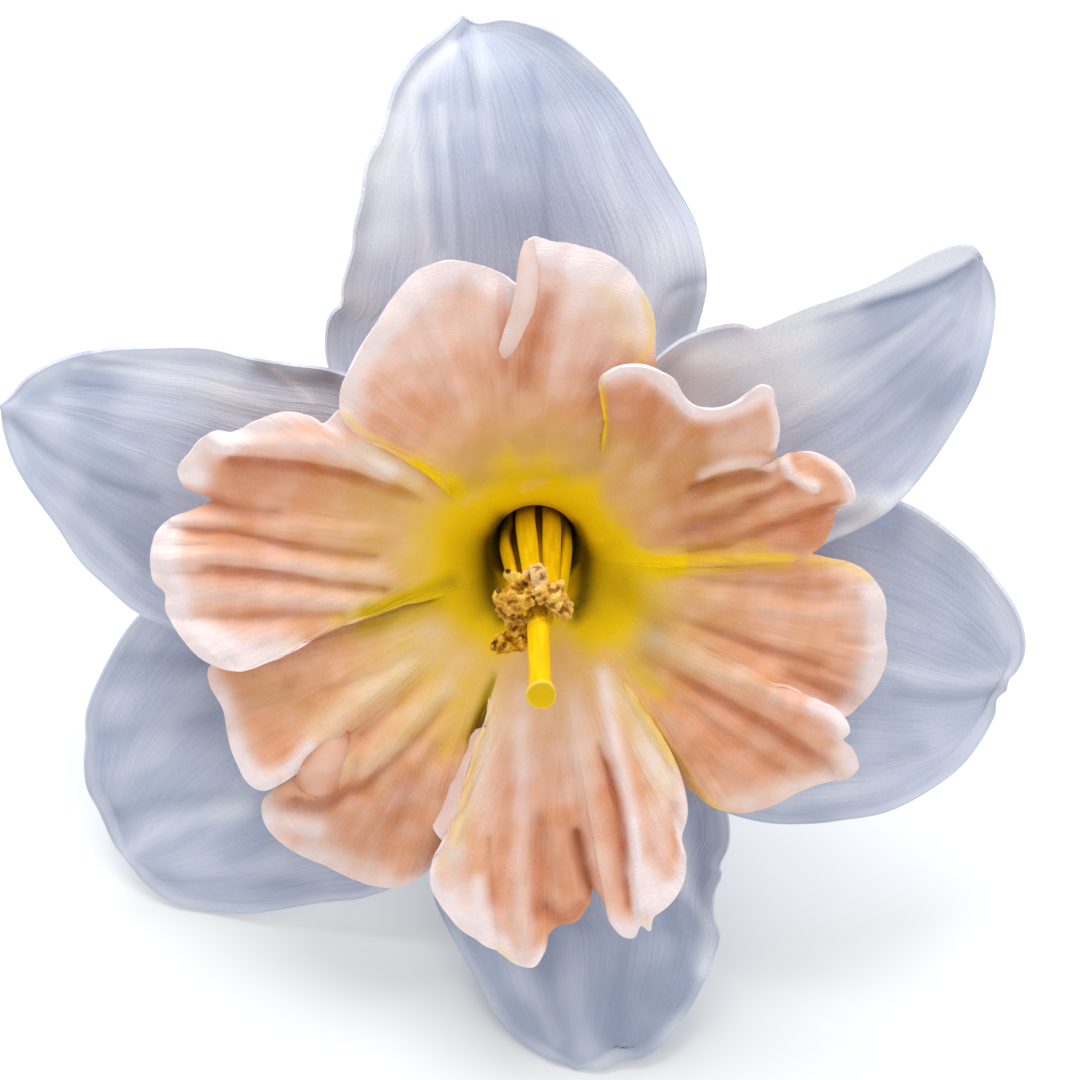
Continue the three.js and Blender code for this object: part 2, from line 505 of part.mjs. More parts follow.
function perianthTube() {
  const outside = [
    [tubeFootRadius, tubeFoot], [4, tubeFoot + 6], [4.6, tubeFoot + 13], [5.1, tubeFoot + 18],
    [tubeMouthRadius, tubeTop],
  ];
  const inside = outside.map(([radius, height]) => [radius - tubeWall, height]).reverse();
  inside[inside.length - 1][0] = tubeFootHole;
  const rim = inside[inside.length - 1];
  return turned([rim, ...outside, ...inside], 20);
}

const ovaryTop = tubeFoot - 0.05; // its crown closes the hole in the foot of the tube
const ovaryFoot = ovaryTop - ovaryLength;

function ovary() {
  const rings = 8;
  const middle = (ovaryTop + ovaryFoot) / 2;
  const profile = [];
  for (let ring = 0; ring <= rings; ring += 1) {
    const turn = (ring / rings) * Math.PI;
    const radius = ring % rings === 0 ? 0 : ovaryRadius * Math.sin(turn) ** 0.55;
    profile.push([radius, middle - (ovaryLength / 2) * Math.cos(turn)]);
  }
  return turned(profile, 16);
}

// The stalk bends over behind the ovary, down and a little to the right.
const stalkPath = [
  [0, 0, ovaryFoot - seatGap], [0.3, -0.5, ovaryFoot - 2.6], [1.2, -2, ovaryFoot - 5.2],
  [2.8, -4.4, ovaryFoot - 7.4], [4.6, -7.2, ovaryFoot - 8.8],
];

// Where the flower touches the table: the rims of two petals, and the end of the stalk
const restPoints = [
  seen([2.3, -51.6, 4.8]), seen([-33.4, -36.1, -2.8]), new THREE.Vector3(...stalkPath.at(-1)),
];

// The table's surface in the flower frame, with its normal pointing up
const table = new THREE.Plane().setFromCoplanarPoints(...restPoints);
if (table.normal.z < 0) table.negate();
table.constant += restHeight;

function stalk() {
  const path = stalkPath.map((point) => new THREE.Vector3(...point));
  const widths = [0.95, 1, 0.95, 0.95, 1].map((share) => [stalkRadius * share, stalkRadius * share]);
  return rod(path, widths, new THREE.Vector3(1, 0, 0), 9, 12, table);
}

// Turns the flower frame onto the table, so that it is seen from the front along +Y.
function laidDown() {
  const up = table.normal;
  const toViewer = new THREE.Vector3(0, tiltSin, tiltCos);
  const right = new THREE.Vector3().crossVectors(up, toViewer).normalize();
  const away = new THREE.Vector3().crossVectors(up, right);
  const turn = new THREE.Matrix4().makeBasis(right, away, up).transpose();
  return turn.setPosition(0, 0, table.constant);
}

// Skin that would dip below the table is pressed flat against it.
function pressFlat(geometry) {
  const position = geometry.getAttribute('position');
  for (let i = 0; i < position.count; i += 1) position.setZ(i, Math.max(position.getZ(i), 0));
}

const materials = {
  petal: { color: 0xd5d8e6, roughness: 0.62, metalness: 0 },
  corona: { color: 0xe0a582, roughness: 0.58, metalness: 0 },
  filament: { color: 0xe2b602, roughness: 0.5, metalness: 0 },
  anther: { color: 0xc79a5a, roughness: 0.8, metalness: 0 },
  style: { color: 0xf0c802, roughness: 0.45, metalness: 0 },
  tube: { color: 0xb9b84a, roughness: 0.55, metalness: 0 },
  ovary: { color: 0x5f7d33, roughness: 0.5, metalness: 0 },
  stalk: { color: 0x6f8c3e, roughness: 0.55, metalness: 0 },
};

const flower = new THREE.Group();

function addPiece(name, geometry, material) {
  const mesh = new THREE.Mesh(geometry, new THREE.MeshStandardMaterial(materials[material]));
  mesh.name = name;
  flower.add(mesh);
}

Object.entries(petals).forEach(([name, shape]) => addPiece(name, petal(shape), 'petal'));
addPiece('corona', corona(), 'corona');
stamens.forEach((shape, i) => {
  addPiece(`filament_${i + 1}`, filament(shape), 'filament');
  addPiece(`anther_${i + 1}`, anther(shape), 'anther');
});
addPiece('style', style(), 'style');
addPiece('perianth_tube', perianthTube(), 'tube');
addPiece('ovary', ovary(), 'ovary');
addPiece('stalk', stalk(), 'stalk');

const laying = laidDown();
for (const mesh of flower.children) {
  mesh.geometry.applyMatrix4(laying);
  pressFlat(mesh.geometry);
}

// The origin is under the middle of the flower, on the table.
const extent = new THREE.Box3().setFromObject(flower);
const middle = extent.getCenter(new THREE.Vector3());
flower.position.set(-middle.x, -middle.y, 0);

export default flower;
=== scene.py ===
import math
import random
import bpy
import bmesh
import numpy as np
from mathutils import Matrix, Vector


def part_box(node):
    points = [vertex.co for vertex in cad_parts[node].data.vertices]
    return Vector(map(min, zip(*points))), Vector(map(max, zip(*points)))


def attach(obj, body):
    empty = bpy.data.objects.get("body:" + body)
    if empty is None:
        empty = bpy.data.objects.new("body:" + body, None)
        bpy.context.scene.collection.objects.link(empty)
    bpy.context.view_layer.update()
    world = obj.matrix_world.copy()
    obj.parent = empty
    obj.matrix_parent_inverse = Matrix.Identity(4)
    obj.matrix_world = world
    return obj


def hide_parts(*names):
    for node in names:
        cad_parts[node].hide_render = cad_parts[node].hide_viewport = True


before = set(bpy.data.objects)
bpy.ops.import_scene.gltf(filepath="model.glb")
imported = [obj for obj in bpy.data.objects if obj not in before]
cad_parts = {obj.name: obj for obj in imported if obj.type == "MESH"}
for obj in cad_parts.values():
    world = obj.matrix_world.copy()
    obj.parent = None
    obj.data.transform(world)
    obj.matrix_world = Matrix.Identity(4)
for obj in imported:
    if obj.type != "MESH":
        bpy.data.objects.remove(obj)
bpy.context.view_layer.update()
print("frame loaded")

# The flower is drawn in its own frame, in mm: x right, y up, z out towards the viewer, with the
# mouth of the tube at 0. Outlines are given as (x, y, height), where x and y are what the camera sees.
camera = {"distance": 380, "tilt": 20, "mmAcross": 108, "centre": (536, 548), "frame": 1080, "sensor": 36}
tiltSin = math.sin(math.radians(camera["tilt"]))
tiltCos = math.cos(math.radians(camera["tilt"]))
# The five tints that sheets carry. The last is olive: green at the petals' roots and keels, and painted
# shade in the corona's throat and slits.
tintNames = ["deep", "pale", "yellow", "cream", "olive"]


# Rows of numbers, with a comma between two rows
def table(text):
    return [tuple(float(value) for value in row.split()) for row in text.split(",")]


# A line is a stroke: its path as rows of x and y, then | and its width, its rise and its tints.
def strokeTable(text):
    strokes = []
    for line in text.strip().splitlines():
        path, rest = line.split("|")
        width, rise, *tints = rest.split()
        amounts = [float(amount) for amount in tints[1::2]]
        strokes.append((table(path), float(width), float(rise), dict(zip(tints[::2], amounts))))
    return strokes


def seen(points):
    x, y, height = np.moveaxis(np.asarray(points, float)[..., :3], -1, 0)
    far = camera["distance"]
    up = (y * far - y * height * tiltCos + far * height * tiltSin) / (far * tiltCos + y * tiltSin)
    right = x * (far - up * tiltSin - height * tiltCos) / far
    return np.stack([right, up, height], -1)


def asSeen(points):
    right, up, height = np.moveaxis(points, -1, 0)
    near = camera["distance"] / (camera["distance"] - up * tiltSin - height * tiltCos)
    return np.stack([right * near, (up * tiltCos - height * tiltSin) * near], -1)


def polar(radius, angle, height):
    return np.stack([radius * np.cos(angle), radius * np.sin(angle), height + 0 * np.asarray(angle)], -1)


def smoothPath(points, perSpan):
    points = np.asarray(points, float)
    padded = np.concatenate([[2 * points[0] - points[1]], points, [2 * points[-1] - points[-2]]])
    share = np.linspace(0, 1, perSpan, endpoint=False)[:, None]
    spans = []
    for a, b, c, d in zip(padded, padded[1:], padded[2:], padded[3:]):
        before, along, after = (max(np.linalg.norm(step) ** 0.5, 1e-4) for step in (b - a, c - b, d - c))
        leave = ((b - a) / before - (c - a) / (before + along) + (c - b) / along) * along
        arrive = ((c - b) / along - (d - b) / (along + after) + (d - c) / after) * along
        turning = 3 * (c - b) - 2 * leave - arrive
        bend = 2 * b - 2 * c + leave + arrive
        spans.append(b + leave * share + turning * share ** 2 + bend * share ** 3)
    return np.concatenate(spans + [points[-1:]])


def atShares(path, shares):
    gone = np.concatenate([[0], np.cumsum(np.linalg.norm(np.diff(path, axis=0), axis=1))])
    return np.stack([np.interp(np.asarray(shares) * gone[-1], gone, axis) for axis in path.T], -1)


def ahead(path, shares, step):
    return atShares(path, np.minimum(shares + step, 1)) - atShares(path, np.maximum(shares - step, 0))


def smoothStep(low, high, value):
    share = np.clip((value - low) / (high - low), 0, 1)
    return share * share * (3 - 2 * share)


# Soft random waves, about 1 high
def ripple(points, wavelength, seed):
    draw = np.random.default_rng(seed)
    total = 0
    for wave in range(7):
        direction = draw.normal(size=points.shape[-1])
        direction *= 2 * math.pi / (wavelength * draw.uniform(0.7, 1.5) * np.linalg.norm(direction))
        total = total + np.sin(points @ direction + draw.uniform(0, 6.28))
    return total / 3.5


# Such waves from a pair of numbers, their height and wavelength
def waves(points, size, seed):
    return size[0] * ripple(points, size[1], seed)


# The flower lies on the rims of two petals and on the end of its stalk.
ovaryShape = {
    "top": -21.7, "length": 11.5, "flutes": (3, 0.045), "sides": 72,
    "profile": [(0.02, 0.03), (3.4, 0.03), (3.48, -0.02), (3.52, -0.5), (3.72, -2.4), (3.86, -5),
        (3.75, -7.6), (3.2, -9.8), (2.4, -11.2), (2.04, -11.7), (1.98, -11.8), (0.02, -11.82)],
}
ovaryFoot = ovaryShape["top"] - ovaryShape["length"]
stalkPath = [(0, 0, ovaryFoot - 0.35), (0.3, -0.5, ovaryFoot - 2.6), (1.2, -2, ovaryFoot - 5.2),
             (2.8, -4.4, ovaryFoot - 7.4), (4.6, -7.2, ovaryFoot - 8.8)]
restRims = [(2.3, -51.6, 4.8), (-33.4, -36.1, -2.8)]
restPoints = [*seen(restRims), np.array(stalkPath[-1])]
tableUp = np.cross(restPoints[1] - restPoints[0], restPoints[2] - restPoints[0])
tableUp *= math.copysign(1, tableUp[2]) / np.linalg.norm(tableUp)
toViewer = np.array([0, tiltSin, tiltCos])
tableRight = np.cross(tableUp, toViewer)
tableRight /= np.linalg.norm(tableRight)
turn = np.array([tableRight, np.cross(tableUp, tableRight), tableUp])
ovaryLow, ovaryHigh = (np.array(corner) * 1000 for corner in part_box("ovary"))
shift = (ovaryLow + ovaryHigh) / 2 - turn @ (0, 0, ovaryShape["top"] - ovaryShape["length"] / 2)
floorGap = 0.02


def inRoom(points):
    placed = np.asarray(points) @ turn.T + shift
    placed[..., 2] = np.maximum(placed[..., 2], floorGap)
    return placed / 1000


def addObject(name, content):
    made = bpy.data.objects.new(name, content)
    bpy.context.collection.objects.link(made)
    return made


# Camera, where the photograph was taken from
def placeCamera():
    lens = bpy.data.cameras.new("camera")
    lens.sensor_width = camera["sensor"]
    lens.lens = camera["sensor"] * camera["distance"] / camera["mmAcross"]
    lens.clip_start = 0.01
    half = camera["frame"] / 2
    lens.shift_x = (half - camera["centre"][0]) / camera["frame"]
    lens.shift_y = (camera["centre"][1] - half) / camera["frame"]
    axes = turn @ np.array([[1, 0, 0], [0, tiltCos, -tiltSin], toViewer]).T
    place = Matrix([list(row) + [0] for row in axes] + [[0, 0, 0, 1]])
    place.translation = Vector(inRoom(camera["distance"] * toViewer))
    holder = addObject("camera", lens)
    holder.matrix_world = place
    bpy.context.scene.camera = holder


placeCamera()
print("camera placed")


def linear(tint):
    shares = np.array(tint) / 255
    return [*np.where(shares <= 0.04045, shares / 12.92, ((shares + 0.055) / 1.055) ** 2.4), 1]


# Shader sockets: expressions on values add Math nodes, on colours and vectors Vector Math nodes
class Wire:
    def __init__(self, tree, socket=None):
        self.tree = tree
        self.socket = socket

    def node(self, kind, settings, sockets, out=0):
        made = self.tree.nodes.new(kind)
        for name, value in settings.items():
            setattr(made, name, value)
        for key, value in sockets.items():
            if isinstance(value, Wire):
                self.tree.links.new(value.socket, made.inputs[key])
            else:
                made.inputs[key].default_value = value
        return Wire(self.tree, made.outputs[out])

    def joined(self, operation, first, second):
        pair = [first, second]
        kind = "ShaderNodeMath"
        if any(isinstance(item, Wire) and item.socket.type != "VALUE" for item in pair):
            kind = "ShaderNodeVectorMath"
            pair = [(item,) * 3 if isinstance(item, (int, float)) else item for item in pair]
        return self.node(kind, {"operation": operation}, dict(enumerate(pair)))

    def __add__(self, other):
        return self.joined("ADD", self, other)

    def __radd__(self, other):
        return self.joined("ADD", other, self)

    def __sub__(self, other):
        return self.joined("SUBTRACT", self, other)

    def __rsub__(self, other):
        return self.joined("SUBTRACT", other, self)

    def __mul__(self, other):
        return self.joined("MULTIPLY", self, other)

    def __rmul__(self, other):
        return self.joined("MULTIPLY", other, self)

    def attribute(self, name, out):
        return self.node("ShaderNodeAttribute", {"attribute_name": name}, {}, out)

    def channel(self, number):
        return self.node("ShaderNodeSeparateColor", {}, {0: self}, number)

    def axis(self, number):
        return self.node("ShaderNodeSeparateXYZ", {}, {0: self}, number)

    def between(self, low, high):
        return self.node("ShaderNodeMapRange", {"interpolation_type": "SMOOTHSTEP"},
                         {"Value": self, "From Min": low, "From Max": high})

    def noise(self, scale, detail, stretch=(1, 1, 1)):
        sockets = {"Vector": self * stretch, "Scale": scale, "Detail": detail}
        return self.node("ShaderNodeTexNoise", {}, sockets)

    def to(self, tint, amount):
        return self.node("ShaderNodeMix", {"data_type": "RGBA"}, {0: amount, 6: self, 7: linear(tint)}, 2)

    def blend(self, first, second):
        sockets = {0: self, 6: linear(first), 7: linear(second)}
        return self.node("ShaderNodeMix", {"data_type": "RGBA"}, sockets, 2)


def newMaterial(name, roughness, **fixed):
    material = bpy.data.materials.new(name)
    material.use_nodes = True
    shader = material.node_tree.nodes["Principled BSDF"]
    shader.inputs["Roughness"].default_value = roughness
    for label, value in fixed.items():
        shader.inputs[label.replace("_", " ")].default_value = value
    return material, shader, Wire(material.node_tree)


def plug(wire, shader, name):
    wire.tree.links.new(wire.socket, shader.inputs[name])


def bumped(shader, height, strength, distance):
    sockets = {"Strength": strength, "Distance": distance, "Height": height}
    plug(height.node("ShaderNodeBump", {}, sockets), shader, "Normal")


def tidyMesh(mesh, closed=True):
    shape = bmesh.new()
    shape.from_mesh(mesh)
    bmesh.ops.remove_doubles(shape, verts=shape.verts, dist=1e-6)
    if closed:
        bmesh.ops.recalc_face_normals(shape, faces=shape.faces)
    shape.to_mesh(mesh)
    shape.free()


def meshOf(shape, name):
    mesh = bpy.data.meshes.new(name)
    shape.to_mesh(mesh)
    shape.free()
    return mesh


def finalMesh(piece):
    return bpy.data.meshes.new_from_object(piece.evaluated_get(bpy.context.evaluated_depsgraph_get()))


# Four numbers a point are kept as a colour, three as a vector
def keepValues(mesh, name, values):
    kind, field = ("FLOAT_COLOR", "color") if values.shape[1] == 4 else ("FLOAT_VECTOR", "vector")
    mesh.attributes.new(name, kind, "POINT").data.foreach_set(field, values.astype(np.float32).ravel())


def settle(piece, material, slot, *nodes):
    sharpAngle = 66
    mesh = finalMesh(piece)
    piece.modifiers.clear()
    piece.data = mesh
    mesh.materials.clear()
    mesh.materials.append(material)
    mesh.shade_smooth()
    mesh.set_sharp_from_angle(angle=math.radians(sharpAngle))
    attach(piece, "root")
    if nodes:
        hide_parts(*nodes)


# Sheets: grids of points in the flower frame, welded where they meet, given a thickness and then
# parted into the pieces they belong to
def sheetPieces(parts, thickness, material, slot, node):
    points, faces, tones, grains, owners = [], [], [], [], []
    first = 0
    for number, grids in enumerate(parts.values()):
        for grid in grids:
            rows, columns = grid["points"].shape[:2]
            corner = first + np.arange(rows * columns).reshape(rows, columns)
            quads = np.stack([corner[:-1, :-1], corner[:-1, 1:], corner[1:, 1:], corner[1:, :-1]], -1)
            faces += quads.reshape(-1, 4).tolist()
            owners += [number] * (len(faces) - len(owners))
            points.append(grid["points"].reshape(-1, 3))
            tones.append(grid["tone"].reshape(-1, len(tintNames)))
            # The fifth tint travels as the third number of "grain".
            grains.append(np.concatenate([grid["grain"].reshape(-1, 2), tones[-1][:, 4:]], 1))
            first += rows * columns
    mesh = bpy.data.meshes.new("sheet")
    mesh.from_pydata(inRoom(np.concatenate(points)).tolist(), [], faces)
    keepValues(mesh, "tone", np.concatenate(tones)[:, :4])
    keepValues(mesh, "grain", np.concatenate(grains))
    mesh.attributes.new("owner", "INT", "FACE").data.foreach_set("value", owners)
    tidyMesh(mesh, False)
    sheet = addObject("sheet", mesh)
    skin = sheet.modifiers.new("skin", "SOLIDIFY")
    skin.thickness = thickness / 1000
    skin.offset = 0
    whole = finalMesh(sheet)
    bpy.data.objects.remove(sheet)
    for number, name in enumerate(parts):
        shape = bmesh.new()
        shape.from_mesh(whole)
        layer = shape.faces.layers.int["owner"]
        others = [face for face in shape.faces if face[layer] != number]
        bmesh.ops.delete(shape, geom=others, context="FACES")
        settle(addObject(name, meshOf(shape, name)), material, slot, node)


# A stroke is a soft ridge or groove along a path drawn on a sheet: its width and rise are in mm,
# and its tints say how much it changes each of the sheet's colours. Besides the sheets' own colours,
# the deep tint along grooves, creases and under folds and overlaps is painted shade, and the pale
# tint on ridges and crests is painted highlight.
def addStrokes(points, tone, strokes):
    flat = asSeen(points)
    lift = np.zeros(points.shape[:-1])
    for path, width, rise, tints in strokes:
        path = smoothPath(path, 6) if len(path) > 2 else np.asarray(path, float)
        near = np.full(lift.shape, 1e9)
        for start, end in zip(path, path[1:]):
            along = end - start
            share = np.clip(((flat - start) @ along) / max(along @ along, 1e-9), 0, 1)
            near = np.minimum(near, np.linalg.norm(flat - start - share[..., None] * along, axis=-1))
        strength = np.exp(-(near / width) ** 2)
        lift += rise * strength
        for name, amount in tints.items():
            tone[..., tintNames.index(name)] += amount * strength
    points[..., 2] += lift


def blankTone(points):
    return np.zeros(points.shape[:2] + (len(tintNames),))


def asGrid(points, tone, *grain):
    grain = np.stack(np.broadcast_arrays(*grain), -1)
    return {"points": points, "tone": np.clip(tone, 0, 1), "grain": grain}


# What petals and corona read from their meshes, and four sizes of pattern along the grain
def sheetWires(wire, patterns):
    tone = wire.attribute("tone", "Color")
    grain = wire.attribute("grain", "Vector")
    masks = [grain.noise(scale, detail, stretch).between(low, high)
             for scale, detail, stretch, low, high in patterns.values()]
    return tone, wire.attribute("tone", "Alpha"), grain, masks


# Petals. "roll" gives how far the left and the right rim turn up, in degrees from root to tip.
petalShape = {
    "rows": 100, "columns": 54, "crowding": 1.3, "rollSteps": 7, "rollWidth": 2.2, "rollLeast": 0.35,
    "rollShare": 0.2, "rootRadius": 6.1, "rootHalfAngle": 38, "innerHeight": -1, "outerHeight": -2.6,
    "thickness": 0.42, "flutter": (0.28, 9), "sway": (0.12, 14), "veinRise": 0.035,
    "veinCounts": (19, 31, 47), "deepWaves": (0.2, 16), "deepRim": 0.5, "paleWaves": (0.15, 7),
    "paleRim": 0.35,
}
petals = {
    "petal_outer_top": {
        "angle": 95, "outer": True, "shade": 0.12, "hollow": 0.7, "tip": (-7.3, 53.2, -8),
        "roll": ([8, 20, 40, 60, 115, 70], [8, 8, 8, 8, 20, 8]),
        "left": table("""-8 6 -2, -14 10.5 -2.2, -18.5 14.5 -2.4, -20.7 18.4 -2.6, -20.8 22.6 -2.8,
            -20.2 23.9 -2.8, -19.4 24.6 -2.8, -19.3 26.4 -2.9, -18.7 28.6 -3, -18.2 30.4 -3,
            -18.1 32 -3, -17.3 35.5 -3.2, -16.8 39 -3.6, -15.5 41.5 -4, -14.8 44 -4.5, -13.9 46.6 -5,
            -11.9 49.4 -6, -9.8 51.1 -7"""),
        "right": table("""6.5 6 -2, 11 11 -2.2, 14.4 16.5 -2.3, 16 21.5 -2.4, 17.1 26.6 -2.6,
            16.1 32.3 -3, 13.9 36.4 -3.4, 11.8 40 -3.8, 10 43.5 -4.4, 8 46.2 -5, 4.5 49.7 -6,
            0.8 52 -7, -3 52.9 -7.6, -5.9 52.5 -7.8"""),
        "strokes": strokeTable("""
    -6.6 52.4, -7.8 50.2, -6.8 47.6, -6.4 44 | 0.6 -0.3 deep 0.35
    -5.8 51.5, -5.2 46, -4.6 38 | 0.7 0.15 pale 0.3
    -12.5 46, -12.2 40, -11.4 34, -10.6 28 | 0.45 0.12 pale 0.4
    -11.2 45, -10.4 38, -9.4 30 | 0.4 -0.1 deep 0.35
    -9.6 44, -8.9 37, -8.2 29 | 0.4 0.1 pale 0.35
    -8.6 42, -7.8 34, -7.2 27 | 0.35 -0.1 deep 0.3
    -0.5 48, 0.6 40, 1 31 | 0.5 -0.1 deep 0.25
    6.5 41, 7.6 36, 9 30 | 0.9 0.15 pale 0.3
    16.8 26.8, 14 26, 12.6 24.5, 11.5 22 | 0.5 -0.35 deep 0.35
    15.5 24.5, 13.8 22.5 | 2.2 0 deep 0.75 cream 0.55
    -17.5 25, -16.6 31, -14.5 41 | 2.2 0.1 pale 0.35
    -19 20, -17.5 24 | 2.5 0 cream 0.25 pale 0.15
    -1 44, -1 35 | 6 0 deep 0.34
    -13.5 40, -14.5 30 | 3 0 pale 0.45
    14 31, 12 23 | 3.5 0 pale 0.5 deep -0.15
    -8.8 50, -11.8 47, -14.4 42.4, -16 38 | 1.1 0.1 pale 1 deep -0.3
    """)},
    "petal_inner_upper_right": {
        "angle": 32, "outer": False, "shade": 0.2, "hollow": 1.1, "tip": (44.5, 29, 2.8),
        "roll": ([8, 8, 50, 150, 170, 120], [8, 8, 30, 8, 8, 8]),
        "left": table("""3.4 8 -0.4, 8 14 0.2, 11.3 18.3 0.6, 13.6 20.5 0.8, 16 21.8 1, 20.3 22.8 1.2,
            21.8 22.5 1.3, 24.9 24.1 1.5, 29.2 25.8 1.8, 33.2 27.3 2, 37.2 29 2.2, 39.9 30.1 2.4,
            42.3 30.6 2.6, 43.6 30.3 2.7"""),
        "right": table("""10 -2.5 -0.4, 18 -2.2 0, 24 -1.4 0.2, 28.6 0.4 0.4, 32.6 2.2 0.8, 36.2 4.9 1.2,
            38 6.6 1.4, 40.2 9.4 1.6, 42.2 12.6 1.8, 44.3 16.6 2, 45.6 21 2.3, 46 24.8 2.5,
            45.5 27.2 2.7"""),
        "strokes": strokeTable("""
    23 21.6, 28 22.9, 34 24.6, 38 25.7, 41 27, 43.6 28.8 | 0.55 -0.35 deep 0.75
    22 22.8, 28 24.8, 34 26.5, 39 28.4, 43 29.8 | 1.1 0.2 pale 1
    16 18.5, 24 21, 31 23.5 | 1.6 0.35 pale 0.45
    18 14, 28 18.2, 38 23, 43.5 27.8 | 0.5 -0.15 deep 0.3
    25 13, 33 18.5, 41 25 | 0.6 0.12 pale 0.35
    26 10, 34 15.5, 42 22.5 | 0.5 -0.1 deep 0.3
    30 8.5, 37 13.5, 43 19.5 | 0.6 0.1 pale 0.25
    28 5, 31 4.4, 34 5 | 1.2 0.5 pale 0.7
    36 12, 41 17 | 3 0 deep 0.25
    31 1.8, 34 3.8, 37 6 | 0.8 0.2 pale 0.5
    23 22.8, 30 25.6, 36 27.6, 42 29.6 | 1.2 0 pale 1 deep -0.6
    17 20, 22 20.6, 27 21.4 | 1.8 0 pale 0.45
    13 13, 19 16, 26 18.5 | 4.5 0 pale 0.7 deep -0.35
    """)},
    "petal_outer_lower_right": {
        "angle": 342, "outer": True, "shade": 0.25, "hollow": 0.8, "tip": (47, -14.3, -2),
        "roll": ([8, 8, 30, 60, 60, 30], [8, 8, 8, 20, 20, 8]),
        "left": table("""8 4 -2, 16 6.5 -2, 24 7 -1.9, 31 6.4 -1.8, 36 5 -1.6, 38.4 3.8 -1.5,
            40.8 2.2 -1.5, 43.5 0 -1.5, 46 -3 -1.6, 47.9 -6 -1.8, 48.8 -9.1 -2, 48.7 -10.9 -2,
            48.1 -12.2 -2, 47.3 -13.1 -2"""),
        "right": table("""5 -10 -2, 10 -19 -2, 15 -24.5 -2, 19.5 -26.5 -2, 24 -27.5 -2, 27.5 -27.4 -2,
            30.5 -27 -2, 34.3 -26.4 -2, 38.8 -24.4 -2, 41.9 -22.2 -2, 44.4 -19.4 -2, 45.9 -16.7 -2,
            46.1 -15.2 -2"""),
        "strokes": strokeTable("""
    37 4.5, 42 0.6, 45.6 -4, 47.2 -9 | 1 0.06 pale 0.3
    46.6 -12.6, 43 -13.2, 38 -12.5, 33 -11 | 0.9 0.14 pale 0.36
    46 -14.4, 42 -15.2, 36 -14.5 | 0.8 -0.17 deep 0.3
    24 -25.5, 30 -24.5, 36 -23 | 1 0.14 pale 0.21
    23 -23.5, 30 -22.6, 38 -20 | 1 -0.14 deep 0.21
    34 2, 40 -2, 44 -8 | 1.2 -0.08 deep 0.18
    33 -4, 39 -6, 45 -10 | 0.7 -0.07 deep 0.15
    """)},
    "petal_inner_bottom": {
        "angle": 277, "outer": False, "shade": 0.66, "hollow": -0.9, "tip": (4, -52, 4.9),
        "roll": ([8, 8, 25, 40, 8, 8], [8, 8, 8, 8, 8, 8]),
        "left": table("""6.5 -6 -0.4, 12 -13 0, 16.5 -20 0.6, 19 -26 1, 19.2 -29.6 1.2, 18.3 -31.6 1.3,
            18.5 -32.4 1.4, 17.8 -34 1.5, 17.7 -36.6 1.7, 18.3 -38.2 2, 17.9 -40.4 2.2,
            16.3 -44.4 2.8, 14.5 -47.2 3.4, 12.2 -49.9 4, 10 -51.1 4.4, 8.6 -51 4.6, 6.8 -51.9 4.9"""),
        "right": table("""-5.5 -7.5 -0.4, -8.5 -15 0, -10 -23 0.6, -10.6 -30 1, -10.2 -34.8 1.4,
            -8.2 -39 2, -6.4 -42.4 2.6, -4.4 -46.1 3.2, -1.8 -49.1 4, 1.2 -51 4.6"""),
        "strokes": strokeTable("""
    14 -27, 14.6 -33, 17 -37.6, 16.5 -42 | 0.8 0.24 pale 0.42
    16.3 -27, 16.5 -33, 17.4 -36.5 | 0.7 -0.21 deep 0.32
    12.5 -30, 13.2 -36, 14.5 -41 | 1 -0.21 deep 0.24
    -4 -37, -1.5 -43, 2 -49 | 1.2 0.14 pale 0.21
    3 -38, 4 -44, 5 -50 | 1.4 0.21 pale 0.21
    0 -38, 1.2 -44, 3 -49.5 | 1.1 -0.14 deep 0.21
    9 -38, 8.4 -44, 7.4 -49.5 | 1.2 -0.14 deep 0.17
    2 -41, 5 -50 | 7 0 deep 0.2
    4.2 -50.6, 6.2 -50.9 | 0.4 -0.06 deep 0.1
    8.4 -49.2, 10 -49.8 | 0.4 -0.06 deep 0.1
    """)},
    "petal_outer_lower_left": {
        "angle": 216, "outer": True, "shade": 0.4, "hollow": 0.5, "tip": (-41.3, -30.7, -3),
        "roll": ([8, 8, 8, 8, 8, 8], [8, 8, 25, 40, 40, 8]),
        "left": table("""-5 -9.5 -2, -7 -19 -2, -9 -27 -2.2, -12.5 -32.8 -2.3, -17.3 -34.9 -2.5,
            -20.8 -35.3 -2.5, -25.4 -36 -2.6, -28.9 -36.4 -2.7, -33.4 -36.1 -2.8, -36.1 -35.4 -2.9,
            -38.8 -33.7 -3, -40.4 -31.9 -3"""),
        "right": table("""-7.5 0.5 -2, -16 2 -2, -26 0.5 -2, -34 -2.5 -2, -39.6 -6.5 -2, -42.8 -11.4 -2.1,
            -44.8 -16.2 -2.3, -44.9 -19 -2.4, -45.1 -21.6 -2.5, -44.8 -24 -2.6, -43.8 -26.1 -2.8,
            -42.2 -29.6 -3"""),
        "strokes": strokeTable("""
    -40.5 -30.2, -37.5 -28.3, -33 -26.6, -29 -26 | 1 0.21 pale 0.36
    -42 -26.8, -37 -25.4, -31 -24.4 | 1.1 -0.21 deep 0.3
    -43.6 -22.4, -38 -21.2, -32 -20.2 | 1.2 0.15 pale 0.18
    -43.4 -19, -38 -17.8, -32 -17 | 1.1 -0.15 deep 0.24
    -42.6 -15, -37 -13.6, -32 -12.6 | 1.2 0.12 pale 0.18
    -41 -10.6, -36 -10.8, -31.5 -11 | 0.9 -0.15 deep 0.21
    -36 -31.6, -29 -31.4, -22 -31.5 | 1.4 0.12 pale 0.18
    -38 -33, -30 -33.6, -22 -33.4 | 0.8 -0.09 deep 0.18
    """)},
    "petal_inner_left": {
        "angle": 163, "outer": False, "shade": 0.22, "hollow": -0.7, "tip": (-53.6, 14.2, 2.6),
        "roll": ([8, 8, 8, 8, 8, 8], [8, 60, 30, 30, 45, 20]),
